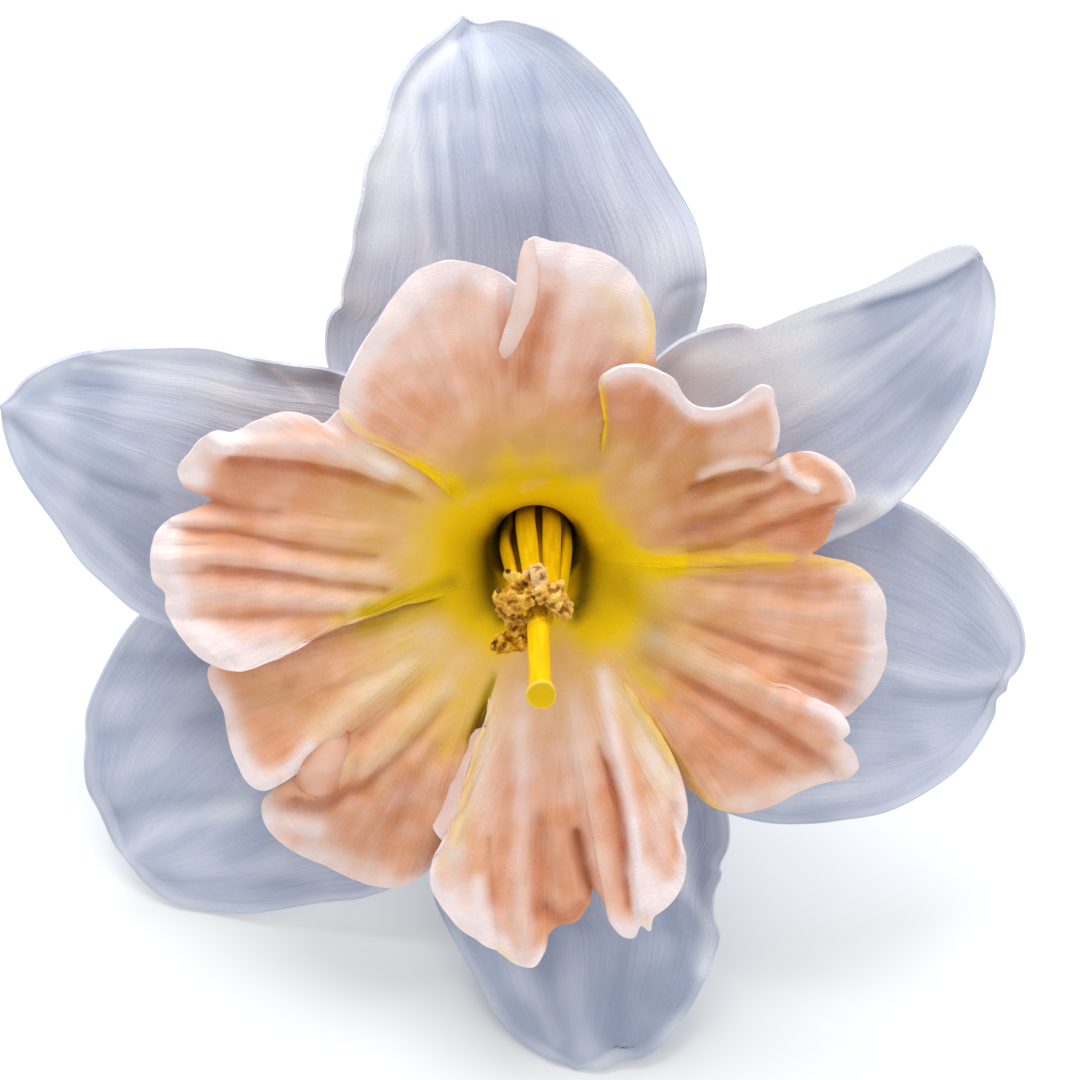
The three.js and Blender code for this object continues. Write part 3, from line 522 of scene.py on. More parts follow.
        "left": table("""-6.5 -3 -0.4, -14 -7 -0.2, -24 -9.6 0.2, -32 -9.6 0.5, -36.8 -7.8 0.8,
            -40 -6.3 1, -42.9 -3.8 1.2, -45.6 -1.2 1.4, -47.8 2.1 1.6, -50.2 5.4 1.9, -52.2 8.6 2.2,
            -53.3 11.9 2.5"""),
        "right": table("""-5.5 6.8 -0.4, -11 12 0.2, -16 16.2 0.7, -20.5 18 1, -24.5 18.5 1.2,
            -28.1 19.1 1.3, -32.6 20.2 1.6, -38.2 20.4 1.8, -43.8 19.9 2, -48 18.8 2.2,
            -50.8 17.1 2.4, -52.5 15.2 2.6"""),
        "strokes": strokeTable("""
    -53 13, -48.5 9.5, -44 7, -38 5 | 0.7 -0.28 deep 0.41
    -52 14, -46 11.6, -40 9.4 | 0.9 0.2 pale 0.26
    -46 18.3, -40 17.6, -33 16.2, -27 14.5 | 0.45 0.11 pale 0.45
    -44 19.4, -37 18.4, -30 17 | 0.4 0.1 pale 0.38
    -47 16.6, -40 15.6, -33 14.2, -26 12.4 | 0.4 -0.1 deep 0.3
    -48 14.8, -40 13.6, -33 12.2 | 0.45 0.1 pale 0.26
    -50 6.5, -44 1.5, -40 -2.6 | 0.8 0.16 pale 0.26
    -44 8, -38 1 | 5 0 deep 0.15
    -47 6, -42 2, -38.6 -2 | 1.2 -0.16 deep 0.22
    -20.8 17.3, -24 17, -27.5 18.4 | 1 0.08 deep 0.6 cream 0.75
    -20 12, -28 15, -37 17 | 4 0 pale 0.45 deep -0.25
    -22.4 14.7, -24 16.2, -26.3 18 | 0.35 0.24 pale 0.68
    """)},
}


def rolled(angle, share):
    bend = np.maximum(np.radians(angle), 0.01)
    return np.sin(bend * share) / bend, (1 - np.cos(bend * share)) / bend


def rollReach(angle):
    return np.where(angle < 90, rolled(angle, 1)[0], 1 / np.radians(np.maximum(angle, 1)))


def petalGrid(spec, seed):
    rows, columns, steps = (petalShape[key] for key in ("rows", "columns", "rollSteps"))
    u = 1 - (1 - np.arange(rows) / rows) ** petalShape["crowding"]
    height = petalShape["outerHeight" if spec["outer"] else "innerHeight"]
    tip = seen(spec["tip"])

    def rootAt(across):
        angle = np.radians(spec["angle"] - across * petalShape["rootHalfAngle"])
        return polar(petalShape["rootRadius"], angle, height)

    swell = np.sin(np.pi * u) ** 0.6
    sides = {"left": -1, "right": 1}
    paths = [smoothPath([rootAt(across), *seen(spec[side]), tip], 24) for side, across in sides.items()]
    edges = [atShares(path, u) for path in paths]
    span = np.linalg.norm(edges[0] - edges[1], axis=1)
    stripWidth = np.minimum(petalShape["rollWidth"] * swell + petalShape["rollLeast"],
                            span * petalShape["rollShare"])
    starts, strips = [], []
    for path, edge, across, angles in zip(paths, edges, sides.values(), spec["roll"]):
        bend = np.interp(u * (len(angles) - 1), range(len(angles)), angles)
        along = ahead(path, u, 0.018)
        outwards = np.stack([along[:, 1], -along[:, 0], 0 * u], -1)
        outwards *= across / np.linalg.norm(outwards, axis=1)[:, None]
        starts.append(edge - outwards * (stripWidth * rollReach(bend))[:, None])
        strips.append([])
        for step in range(1, steps + 1):
            out, up = rolled(bend, step / steps)
            rise = np.stack([0 * u, 0 * u, stripWidth * up], -1)
            strips[-1].append(starts[-1] + outwards * (stripWidth * out)[:, None] + rise)
    inner = []
    for share in np.arange(columns + 1) / columns:
        across = share * 2 - 1
        toArc = rootAt(across) - (rootAt(-1) * (1 - share) + rootAt(1) * share)
        point = starts[0] * (1 - share) + starts[1] * share + toArc * ((1 - u) ** 4)[:, None]
        point[:, 2] -= spec["hollow"] * (1 - across ** 2) * swell
        inner.append(point)
    points = np.stack([*strips[0][::-1], *inner, *strips[1]], 1)
    points = np.concatenate([points, np.broadcast_to(tip, (1,) + points.shape[1:])])
    width = points.shape[1]
    full = np.concatenate([u, [1]])[:, None] + np.zeros(width)
    across = np.linspace(-1, 1, width)[None, :] + 0 * full
    length = np.linalg.norm(tip[:2]) - petalShape["rootRadius"]
    halfWidth = np.concatenate([span / 2, [0]])[:, None]
    rim = np.minimum((1 - np.abs(across)) * halfWidth, (1 - full) * length)
    tone = blankTone(points)
    addStrokes(points, tone, spec["strokes"])
    flat = points[..., :2]
    loose = smoothStep(7, 0.5, rim) * smoothStep(0.25, 0.5, full) * smoothStep(0, 0.06, 1 - full)
    points[..., 2] += (waves(flat, petalShape["flutter"], seed) * loose
                       + waves(flat, petalShape["sway"], seed + 5))
    # Long veins, closer together towards the tip
    veins = sum(np.sin(across * count + 0.35 * np.sin(full * 5 + count) + count)
                for count in petalShape["veinCounts"]) / 3
    points[..., 2] += petalShape["veinRise"] * veins * smoothStep(1, 0.8, full) * smoothStep(0, 3, rim)
    # Each petal is darkened all over by its shade: painted shade, most on the bottom petal.
    tone[..., 0] += spec["shade"] + waves(flat, petalShape["deepWaves"], seed + 9)
    tone[..., 0] += petalShape["deepRim"] * smoothStep(0.3, 0.05, rim)
    tone[..., 1] += (petalShape["paleRim"] * smoothStep(1.8, 0.3, rim)
                     + waves(flat, petalShape["paleWaves"], seed + 12))
    keel = 0.35 * smoothStep(0.3, 0, np.abs(across)) * smoothStep(0.5, 0.1, full)
    tone[..., 4] += smoothStep(0.2, 0.02, full) + keel
    return asGrid(points, tone, across * length * 0.32 + seed * 90, full * length)


# Petal tints. The deep blue-grey is painted shade, along creases and grooves and under overlaps. The
# grey-brown is painted shadow on the top petal and a brown strip at the left petal's root. The light tint
# is partly a paler margin and partly painted highlight, on ridges, on the upper right petal's rolled rim
# and over places that lie in the corona's shadow.
petalTint = {
    "body": (212, 216, 232), "shade": (200, 207, 227), "vein": (176, 185, 208), "light": (250, 251, 255),
    "deep": (132, 142, 166), "brownAndShadow": (160, 152, 150), "green": (186, 196, 120),
}
petalPattern = {
    "veins": (1, 3, (2.6, 0.09, 0), 0.42, 0.66), "threads": (1, 2, (6.5, 0.16, 0), 0.4, 0.7),
    "cells": (5.5, 3, (1, 0.6, 0), 0.3, 0.7), "clouds": (0.16, 2, (1, 0.6, 0), 0.32, 0.68),
}


def petalMaterial():
    material, shader, wire = newMaterial("petal white", 0.5, Subsurface_Weight=0.12, Subsurface_Scale=0.6,
                                         Subsurface_Radius=(0.002, 0.002, 0.0025), Specular_IOR_Level=0.2)
    tone, brownAndShadow, grain, (veins, threads, cells, clouds) = sheetWires(wire, petalPattern)
    colour = clouds.blend(petalTint["shade"], petalTint["body"])
    for name, amount in (("vein", veins * 0.34), ("light", threads * 0.22), ("vein", cells * 0.3),
                         ("deep", tone.channel(0) * 0.75), ("light", tone.channel(1) * (0.7 + 0.3 * cells)),
                         ("brownAndShadow", brownAndShadow * 0.8), ("green", grain.axis(2) * 0.8)):
        colour = colour.to(petalTint[name], amount)
    plug(colour, shader, "Base Color")
    plug(0.46 + cells * 0.14, shader, "Roughness")
    bumped(shader, veins * 0.6 + threads * 0.3 + cells * 0.25, 0.35, 0.00025)
    return material


petalWhite = petalMaterial()
for number, (name, spec) in enumerate(petals.items()):
    skin = {name + "_skin": [petalGrid(spec, number)]}
    sheetPieces(skin, petalShape["thickness"], petalWhite, "petal", name)
print("petals made")

# Corona: six ruffled lobes round the throat. A lobe lies between two slit ends, going anticlockwise.
coronaShape = {
    "throatRadius": 5.1, "throatHeight": 0.35, "slope": 0.34, "cupRows": 12, "lobeRows": 42,
    "perSpan": 7, "ringBulge": 0.8, "wallFlare": 1.06, "levelWindow": 51, "thickness": 0.36,
    "lip": [(4.3, -2.2), (4.36, -1.4), (4.5, -0.7), (4.76, -0.1), (5.1, 0.35)],
    "frill": [(0.12, 3.2), (0.28, 7)], "pucker": (0.1, 2.4), "fanRise": 0.09, "fanCounts": (43, 71, 113),
    "mottle": [(0.6, 6), (0.3, 2.6)], "deepRing": (17, 5), "deepWaves": (0.1, 4), "paleWaves": (0.08, 3),
}
slitEnds = [
    (10.4, -1.7, 5.4), (6.6, 9.8, 5.6), (-8.5, 5.4, 5.4), (-9.2, -4.6, 5.2), (-4.6, -15, 5.6),
    (8.7, -13.3, 5.6),
]
# Margins are (x, y, height, share of the way between the slit ends where that pleat starts). Yellow and
# cream fade out between two distances from the throat. "rim" is the pale margin: its width, its amount
# and the shares that it lies between, and "bare" is a part of the margin without it.
lobes = {
    "upperRight": {
        "yellow": (7.6, 11.4), "cream": (10, 17, 0.55), "deepAt": 0.85, "slitEdge": 0.5,
        "rim": (1.3, 1, 0.3, 0.9), "bare": (0.47, 0.55),
        "margin": table("""14.5 -1.9 6.8 0.03, 19 -1.7 7.8 0.06, 23 -1.5 8.8 0.1, 26 -1.2 9.4 0.14,
            28.3 0.1 9.8 0.19, 29.4 1.9 9.6 0.24, 30.2 3.6 10.2 0.3, 31.9 4.8 11.2 0.34,
            31.6 6.4 11.2 0.38, 30.4 8.2 10.8 0.41, 28.6 9.3 10.2 0.44, 26.4 9.6 9.8 0.47,
            24.6 9 9.2 0.49, 23.3 8.1 8.4 0.52, 24 10 9.2 0.56, 24.4 12 10 0.59, 23.9 14.4 11.2 0.62,
            23.6 16 12 0.64, 22.6 16.4 12 0.66, 20.4 14.9 11.2 0.695, 17.6 14 10.4 0.735,
            15.2 14.8 10.2 0.77, 13.8 17 10.8 0.8, 12.2 18 11.1 0.83, 9.8 18.4 11.2 0.86,
            7.8 18 11.1 0.88, 6.5 17 10.6 0.9, 6.6 15.2 9.6 0.93, 6.9 13 7.8 0.96"""),
        "strokes": strokeTable("""
    10 0.6, 14.4 1.8, 18.4 3.1, 22.4 5.1, 25.5 6.2 | 0.85 -1 deep 0.85
    15.5 -0.4, 19.7 0.5, 23.7 2.1, 26.7 3.1, 30 4.1 | 0.75 -0.9 deep 0.9
    13 3.4, 17.5 4.8, 20.5 6, 23 6.4 | 0.8 0.8 pale 0.15
    15.8 5.9, 17.6 6.5, 20 7, 22.6 7.2 | 0.75 -1.1 deep 1
    16.6 7.6, 18.4 8.4, 20.8 8.8, 23.4 8.5 | 0.6 1 pale 0.5 deep -0.2
    24.8 8.7, 25.7 7.2, 27.9 6.2 | 0.5 0.7 pale 1
    31.6 5.4, 31.9 6.2 | 0.7 0.4 pale 1
    12.4 17.4, 14.6 14.8, 17.6 13.6, 20.6 14.4, 22.8 15.8 | 0.95 0.5 pale 1
    7.6 17.2, 10 17.6, 12.4 17 | 1 0.3 pale 0.6
    16 11, 19.5 12.2, 22.5 13 | 1.8 -0.4 deep 0.4
    10 7, 13 10.6, 15.5 13 | 1 0.5 pale 0.15
    9.4 9.5, 11 13.5, 12 16 | 0.9 -0.3 deep 0.25
    11 -1.6, 17 -1.2, 23 -1, 25.6 -0.9 | 0.6 0.1 yellow 0.75
    12 -0.6, 18 0, 23 0 | 0.8 0 cream 0.6
    6.6 16.4, 6.9 13.8, 6.8 11 | 0.3 0.1 yellow 0.5
    10 9, 15 9, 19 6 | 4 0 deep 0.35 cream 0.35
    19.6 10.6, 22.6 11.6 | 1.9 0.3 pale 0.35 deep -0.5
    22 0.4, 26.4 1, 29 2.6 | 1.6 0 deep 0.5
    26 1.5, 28.6 2.5 | 1.6 0.3 deep 0.5
    """)},
    "top": {
        "yellow": (8, 12), "cream": (10, 20, 0.55), "deepAt": 0.18, "slitEdge": 0.5,
        "rim": (3.8, 0.9, 0.2, 0.86), "bare": (0, 0),
        "margin": table("""8.8 11.4 5.5 0.04, 10.6 14.2 5.8 0.09, 11.9 17 6.7 0.15, 11.9 20 7.9 0.195,
            11.9 22.4 8.3 0.22, 11.4 24.4 8.5 0.245, 9.9 27 8.7 0.28, 8.4 28.6 8.8 0.31,
            6.9 29.5 8.9 0.33, 3.6 30.4 9.2 0.37, 1.6 30.7 9.5 0.395, -0.2 31.1 10 0.42,
            -1.3 30.2 10.2 0.44, -1.6 28.4 9.9 0.46, -1.8 26.4 9 0.5, -3.2 27.3 8.5 0.55,
            -5.8 28.3 8.8 0.61, -7.4 28.7 9.2 0.645, -9 28.8 9.4 0.68, -11.6 27.9 9.4 0.7,
            -13.6 26 9.4 0.72, -16.2 22.2 9.8 0.75, -18.4 18.4 10 0.78, -19.6 15.6 9.8 0.81,
            -19.5 13.4 9.6 0.84, -18 11.4 9.2 0.87, -14.6 9.8 8.4 0.91, -12 8.2 7.4 0.95"""),
        "strokes": strokeTable("""
    1 25, 0.2 22, -0.9 19, -1.2 16.5 | 1.1 -0.7 deep 0.9
    4.4 28, 3 22, 1.8 16 | 1.2 0.4 pale 0.3
    -3.4 18.6, -3 16, -2.6 13 | 0.7 -0.3 deep 0.45
    -4.6 25, -4 20, -3.4 15 | 1.1 0.3 pale 0.1
    -7.5 25, -6.2 19, -4.8 13.5 | 1.3 -0.25 deep 0.05
    -11 25, -9 19, -7 13.5 | 1.2 0.35 pale 0.15
    -15 21, -12 16.4, -9 12 | 1.3 -0.25 deep 0
    -13 19, -11 23.5, -7 24 | 4 0 pale 0.42 deep -0.15
    -18 15.5, -14 12.6, -10.5 9.6 | 1.2 0.3 pale 0.1
    -9 27.4, -13.2 24.6, -16 20.6 | 1.4 0.2 pale 0.5
    7 26.4, 9 24, 9.6 20.6 | 2.4 0.3 cream 0.7 pale 0.3
    10.8 25, 11.5 21.6, 10.4 18.6 | 0.5 0 yellow 0.5
    6.8 19.5, 6 16, 5 12.4 | 1.2 -0.4 deep 0.35
    -19.2 13.4, -17 11.4, -13.4 9.5, -10 7 | 0.4 0.1 yellow 0.45
    -11.6 8.4, -8.6 6.6 | 1.2 0 yellow 0.7
    -1.2 27, 1.5 29.6, 5.5 28.6 | 1.6 0.1 pale 0.35
    2 27.5, 5 25, 6 20 | 3.2 0.1 pale 0.42 deep -0.4
    """)},
    "left": {
        "yellow": (8.4, 15), "cream": (12, 27, 0.8), "deepAt": 0.2, "slitEdge": 0.3,
        "rim": (3.6, 0.95, 0.04, 0.9), "bare": (0.34, 0.38),
        "margin": table("""-11 9 5.5 0.03, -13.6 11.4 6 0.06, -16.6 13.2 6.8 0.09, -19.4 13.9 7.8 0.12,
            -21.3 12.5 8 0.15, -23 13.3 8.5 0.17, -25.2 13.6 8.9 0.2, -28 12.8 9.2 0.23,
            -30.4 11.6 9.2 0.25, -32.2 11.7 9.4 0.265, -33.5 10.9 9 0.28, -34.6 9.6 8.3 0.295,
            -35.8 8 7.6 0.32, -35.3 6.6 7.4 0.335, -33.6 5.6 7.1 0.35, -32.4 4.6 7 0.365,
            -34 4 7.4 0.38, -36.6 2.9 8 0.4, -38 1.6 8.5 0.42, -38.4 0.2 8.8 0.445,
            -38.3 -3 8.9 0.49, -37 -4.4 8.5 0.515, -37 -6.2 9 0.55, -35.4 -9 9.7 0.59,
            -33 -11.2 10 0.63, -30 -12.2 10.1 0.67, -26.8 -11.4 9.8 0.72, -24.6 -10.2 9.3 0.77,
            -22.4 -9.1 8.9 0.84, -19.4 -7.75 8.2 0.89, -16 -6.6 7.4 0.93, -12.4 -5.5 6.3 0.97"""),
        "strokes": strokeTable("""
    -30.6 8.8, -26.6 8.5, -22.9 8.1, -18.9 7.3, -14.3 5.8, -10.6 4.2 | 0.65 -1.2 deep 0.9
    -29.5 7.6, -24 7.2, -18 5.8, -12 3.6 | 1.3 0 deep 0.35
    -31.5 6.8, -26 6.6, -20 5.6, -15 4.2 | 1.8 -0.2 deep 0.45
    -31 10.2, -26 10.6, -20 10.2, -15 8 | 1.3 0.6 pale 0.55
    -30.8 10.6, -32 10.9 | 0.7 0.6 pale 1
    -35.6 7.6, -33.6 7 | 1.1 0.3 pale 0.7
    -32.4 4.4, -29.5 3.6, -26 3.4 | 0.8 -0.6 deep 0.8
    -36.3 1.8, -29.6 1.3, -24.6 0.1, -16.3 -1 | 0.7 -0.8 deep 0.75
    -34 3, -27 2.9, -19 2, -13 1 | 1 0.45 pale 0.1
    -37.4 0, -36.6 -4, -34.6 -8.4, -30 -11 | 2.2 0.1 pale 0.55
    -36.4 0, -33 0.2 | 0.35 -0.25 deep 0.3
    -37 -2.4, -33.6 -2.6 | 0.35 -0.2 deep 0.2
    -32.2 -9.6, -30 -11.6 | 0.35 -0.25 deep 0.35
    -34.4 -7.4, -31.8 -10 | 0.35 -0.25 deep 0.3
    -37 -0.6, -30 -0.9, -22 -2, -15 -2.7 | 1 0.5 pale 0.3
    -32.9 -1.9, -25.3 -2.7, -20.9 -3.5, -15.3 -4.2 | 0.65 -0.8 deep 0.8
    -36 -4, -29 -4.4, -22 -5, -16 -5.4 | 1.1 0.5 pale 0.35
    -35.2 -7.2, -29.6 -7, -25.3 -6.7, -19.6 -6.5 | 0.8 -0.6 deep 0.45
    -33.6 -9, -29.6 -9.8, -26.4 -9.4 | 1.7 0.3 pale 0.7
    -29.4 -11.3, -26.4 -10.6, -24 -9.4 | 0.8 0.1 cream 0.7 pale 0.5
    -20 -7.2, -14 -5.3, -10.5 -4.3 | 0.7 0.1 yellow 0.5
    -17 -6, -12 -4.6, -8.6 -3.4 | 1 0 olive 0.4 yellow 0.6
    -17.5 10.8, -14.5 8.4, -12 6.8 | 0.9 0.2 cream 0.7 pale 0.35
    """)},
    "lowerLeft": {
        "yellow": (6.8, 12.5), "cream": (12, 27, 1), "deepAt": 0.15, "slitEdge": 0.1,
        "rim": (2.1, 0.6, 0.1, 0.9), "bare": (0.46, 0.48),
        "margin": table("""-11.6 -5.4 5 0.03, -16 -6.6 5.5 0.06, -21 -8 6.1 0.09, -27 -10 6.5 0.12,
            -32.6 -11.8 6.8 0.15, -32.6 -13.6 6.9 0.18, -31.3 -16 7.1 0.22, -30.8 -18.6 7.6 0.26,
            -30 -21.2 8 0.3, -28.8 -23.3 8.3 0.34, -27 -24.1 8.5 0.37, -24.6 -22.9 8.7 0.4,
            -22.5 -20.8 8.6 0.43, -21.3 -19 7.9 0.455, -22.6 -21.4 6.9 0.47, -25 -23.6 6.3 0.485,
            -27.2 -25.2 6.4 0.5, -27 -27.4 6.7 0.515, -25.8 -29 6.8 0.54, -24.6 -30.1 6.8 0.56,
            -22.2 -31.2 7 0.6, -19.4 -32.4 7.2 0.67, -16.6 -33.6 7.1 0.75, -14 -33.9 7 0.81,
            -11.8 -33 6.8 0.86, -10 -31 6.5 0.9, -9.2 -28 6.3 0.93, -7.8 -23.5 6 0.955,
            -6.1 -19 5.6 0.98"""),
        "strokes": strokeTable("""
    -28 -13, -24.5 -15.4, -22 -16 | 2.6 -0.4 deep 0.6 cream 0.2
    -30 -12, -22 -9.6, -16 -8 | 1.2 -0.2 deep 0.6
    -10 -8.5, -14 -12, -18.5 -15.5, -21.5 -18.5 | 1.5 0.6 cream 0.45 pale 0.3
    -8.6 -15.2, -12.9 -19.9, -16.3 -22.9, -18 -24.4 | 0.75 -1 deep 0.75
    -7.6 -11.5, -11.6 -16.6, -15.4 -20.4, -18.4 -22 | 1.5 0.6 cream 0.45 pale 0.2
    -19.5 -24.6, -22.4 -26, -25 -25.6 | 0.9 -0.6 deep 0.7
    -12 -22.6, -15.5 -26.5, -18 -30 | 2.2 0.3 deep 0.15
    -27.4 -23.4, -24.8 -22, -22.6 -19.8 | 0.8 0.3 pale 0.9
    -30 -20.5, -28 -22.6 | 1.2 0.2 pale 0.8
    -26.4 -26.6, -24 -27.4, -22 -28 | 1.1 0.5 pale 0.7
    -23 -29.4, -19 -31, -15 -32.4 | 1 0.2 pale 0.45 cream 0.2
    -14 -28, -12.6 -24, -10 -20 | 0.9 -0.4 deep 0.3
    -4.4 -13.6, -5 -15, -5.7 -17, -6.6 -19.2 | 0.6 -0.3 yellow 0.9 olive 0.75
    -6.6 -13, -7.6 -17, -9 -20 | 1.4 0 yellow 0.35 olive 0.12
    -31.2 -15, -29.6 -18.4 | 1.2 0.1 pale 0.35
    -12 -10.6, -17 -13.2, -21 -14.4 | 0.8 -0.4 deep 0.35
    -13 -25, -17 -28.4, -21 -29 | 4 0 deep 0.45 pale 0.1 olive 0.12
    -9 -7, -11 -11 | 2.5 0 yellow 0.15 olive 0.04
    -24 -25.4, -21.4 -25.7, -19 -24.4, -17.9 -21.5 | 0.6 -0.5 deep 0.9
    -10 -5.4, -14 -7, -17 -8 | 1 -0.1 olive 0.3 yellow 0.6
    -10.4 -12.6, -14 -16, -17.4 -18.6 | 0.6 -0.4 deep 0.3
    """)},
    "bottom": {
        "yellow": (6, 10.5), "cream": (10, 24, 0.7), "deepAt": 0.15, "slitEdge": 0.1,
        "rim": (2.8, 0.95, 0.13, 0.92), "bare": (0.42, 0.58),
        "margin": table("""-4.9 -16.8 6.6 0.02, -5.9 -19.2 7.6 0.045, -6.6 -21.9 8.3 0.07,
            -7.5 -24.5 8.8 0.09, -8.2 -27.5 9.2 0.11, -9.1 -29.4 9.3 0.13, -10.2 -31 9.5 0.155,
            -10.6 -32.4 9.6 0.17, -10.4 -34.2 9.7 0.2, -9.2 -36.2 9.8 0.23, -7.4 -38 9.8 0.26,
            -5 -39.6 9.8 0.295, -3.4 -40.6 9.7 0.32, -1.9 -41.6 9.8 0.35, -0.2 -41.8 9.9 0.385,
            0.8 -40.4 9.6 0.41, 1.2 -38.6 9.2 0.435, 2.2 -37.8 8.8 0.46, 4 -37.3 8.6 0.49,
            5.2 -35.8 8.3 0.52, 5.9 -34.2 8.2 0.54, 7 -35.4 9 0.565, 7.5 -37.4 9.6 0.59,
            8.8 -38.8 9.8 0.62, 9.8 -38.9 9.9 0.645, 10.6 -37.6 10 0.665, 11.4 -38.2 10.3 0.685,
            11.7 -36.8 10.2 0.7, 13.2 -35.6 10.2 0.735, 14.7 -33.6 10 0.78, 15 -31 9.8 0.82,
            14.5 -29.2 9.6 0.845, 15 -27.4 9.4 0.87, 15.1 -25.4 9.2 0.9, 13.9 -21.2 8.3 0.945,
            11.9 -17.6 7.2 0.975, 9.9 -14.8 6.3 0.99"""),
        "strokes": strokeTable("""
    -4.7 -15.9, -5.8 -21.2, -6.5 -24.5, -7.3 -27.5, -8.1 -29.7 | 1.1 0.5 cream 0.6 pale 0.35
    -4.9 -15.9, -6.3 -21.2, -7.1 -24.5, -7.8 -27.5, -8.4 -29.7 | 0.4 0.4 cream 0.3 yellow 0.15
    -4.6 -18, -5.2 -26, -6.2 -33, -7 -37 | 1.2 0.4 pale 0.2
    -6.8 -28.5, -6.3 -32 | 1.5 0 pale -0.35 deep 0.15
    -4.8 -29, -4.4 -35, -3.8 -40 | 0.35 -0.35 deep 0.4
    -5.7 -33, -5.5 -36, -5 -39.4 | 0.7 0.35 pale 0.6
    -2.6 -20, -3.2 -28, -4 -36 | 0.9 -0.35 deep 0.3
    -1.6 -15, -1.4 -24, -1.6 -33, -1 -40 | 1 0.6 pale 0.35
    0.2 -27, 0.3 -31, 0.2 -37 | 0.9 -0.7 deep 0.7
    1.8 -27, 2.6 -32, 3 -36 | 1.2 0.9 deep 0.55
    0.9 -36.4, 2.4 -37, 4.4 -36 | 0.9 -0.7 deep 1.2 pale -1
    2.2 -34.6, 3.4 -35.2 | 0.6 0.6 pale 0.1
    6.2 -20, 8.3 -26, 8.9 -31, 9.1 -36 | 0.5 -0.6 deep 0.5
    4 -28.6, 4.7 -32, 5.5 -34.6 | 0.7 -1.2 deep 1 olive 0.25
    1.6 -16, 2 -22, 2.6 -27 | 0.9 -0.3 deep 0.1
    -1 -17, 1 -22, 4 -19 | 4 0 pale 0.22
    4 -15, 4.6 -21, 5.8 -27, 6.8 -33 | 1.1 0.5 pale 0.25
    7.2 -22, 8.2 -28, 8.8 -34 | 1 -0.8 deep 0.5
    6.7 -12.5, 7.8 -19.2, 9.4 -25.9, 10.2 -32.5, 10.6 -35.6 | 0.8 1 pale 0.7
    8.6 -14.6, 11 -19, 13 -23 | 1.6 0.1 cream 0.8 pale 0.25
    9.2 -14, 11.6 -17.4, 13.6 -21.4 | 0.5 0.1 yellow 0.3 cream 0.4
    11 -20, 13.6 -24.6 | 1.4 0 pale 0.45 cream 0.3
    12 -27, 12.4 -32 | 1.4 0.2 pale 0.4
    10.6 -33, 12.4 -34.4 | 1.5 0.2 pale 1 deep -0.4
    9.7 -27, 10 -31, 10.2 -36 | 0.35 0.5 pale 0.6
    9.1 -28, 9.3 -32, 9.4 -36 | 0.3 -0.4 deep 0.45
    10.4 -36.4, 11.4 -37.4 | 0.5 0.3 cream 0.5 yellow 0.15
    13.8 -26, 14 -31 | 0.7 -0.4 deep 0.3
    -9 -30.5, -9.4 -31.4 | 0.6 0 yellow 0.3
    -3.6 -40.3, -2.8 -40.9 | 0.6 0 yellow 0.4
    -9 -31, -7.6 -35.6, -4 -39 | 2.1 0.1 pale 0.6 deep -0.3
    -8.6 -27, -7.4 -30 | 1.2 0.2 pale 0.2
    7.8 -36.4, 9 -38 | 1 0.1 pale 0.35
    """)},
    "lowerRight": {
        "yellow": (9, 16), "cream": (11, 24, 0.85), "deepAt": 0.3, "slitEdge": 0.45,
        "rim": (2.6, 0.55, 0.14, 0.9), "bare": (0.5, 0.52),
        "margin": table("""9.6 -15.8 5.3 0.02, 11.6 -19.4 5.7 0.045, 14 -22.8 6.3 0.07,
            16 -24.4 6.8 0.085, 17.8 -25.8 7.1 0.105, 20.3 -26.5 7.2 0.14, 22.6 -26 7.2 0.17,
            25.2 -24.8 7.2 0.21, 28 -23.6 7.2 0.25, 31 -22.9 7.2 0.29, 32.2 -21.8 7.5 0.32,
            31.7 -20.2 8.2 0.345, 30.6 -18.8 8.9 0.37, 31.3 -18 9.3 0.39, 30.6 -16.6 9.4 0.41,
            28.4 -15.2 9.2 0.44, 26 -14.1 8.9 0.47, 24 -13.2 8.2 0.495, 25.4 -14.2 7.6 0.52,
            28.4 -15.8 7.1 0.56, 31 -16.7 6.9 0.62, 33.2 -14.8 7.3 0.675, 34.6 -12.6 7.5 0.71,
            35.1 -10.6 7.5 0.745, 34.8 -8.4 7.2 0.785, 35 -6.4 7.3 0.81, 34.6 -4.4 7.2 0.835,
            33.2 -2.5 7 0.87, 31.4 -1.5 6.8 0.9, 29 -1 6.7 0.92, 26 -0.4 6 0.94, 20.5 0.2 5.3 0.965,
            14.4 -0.2 4.9 0.985"""),
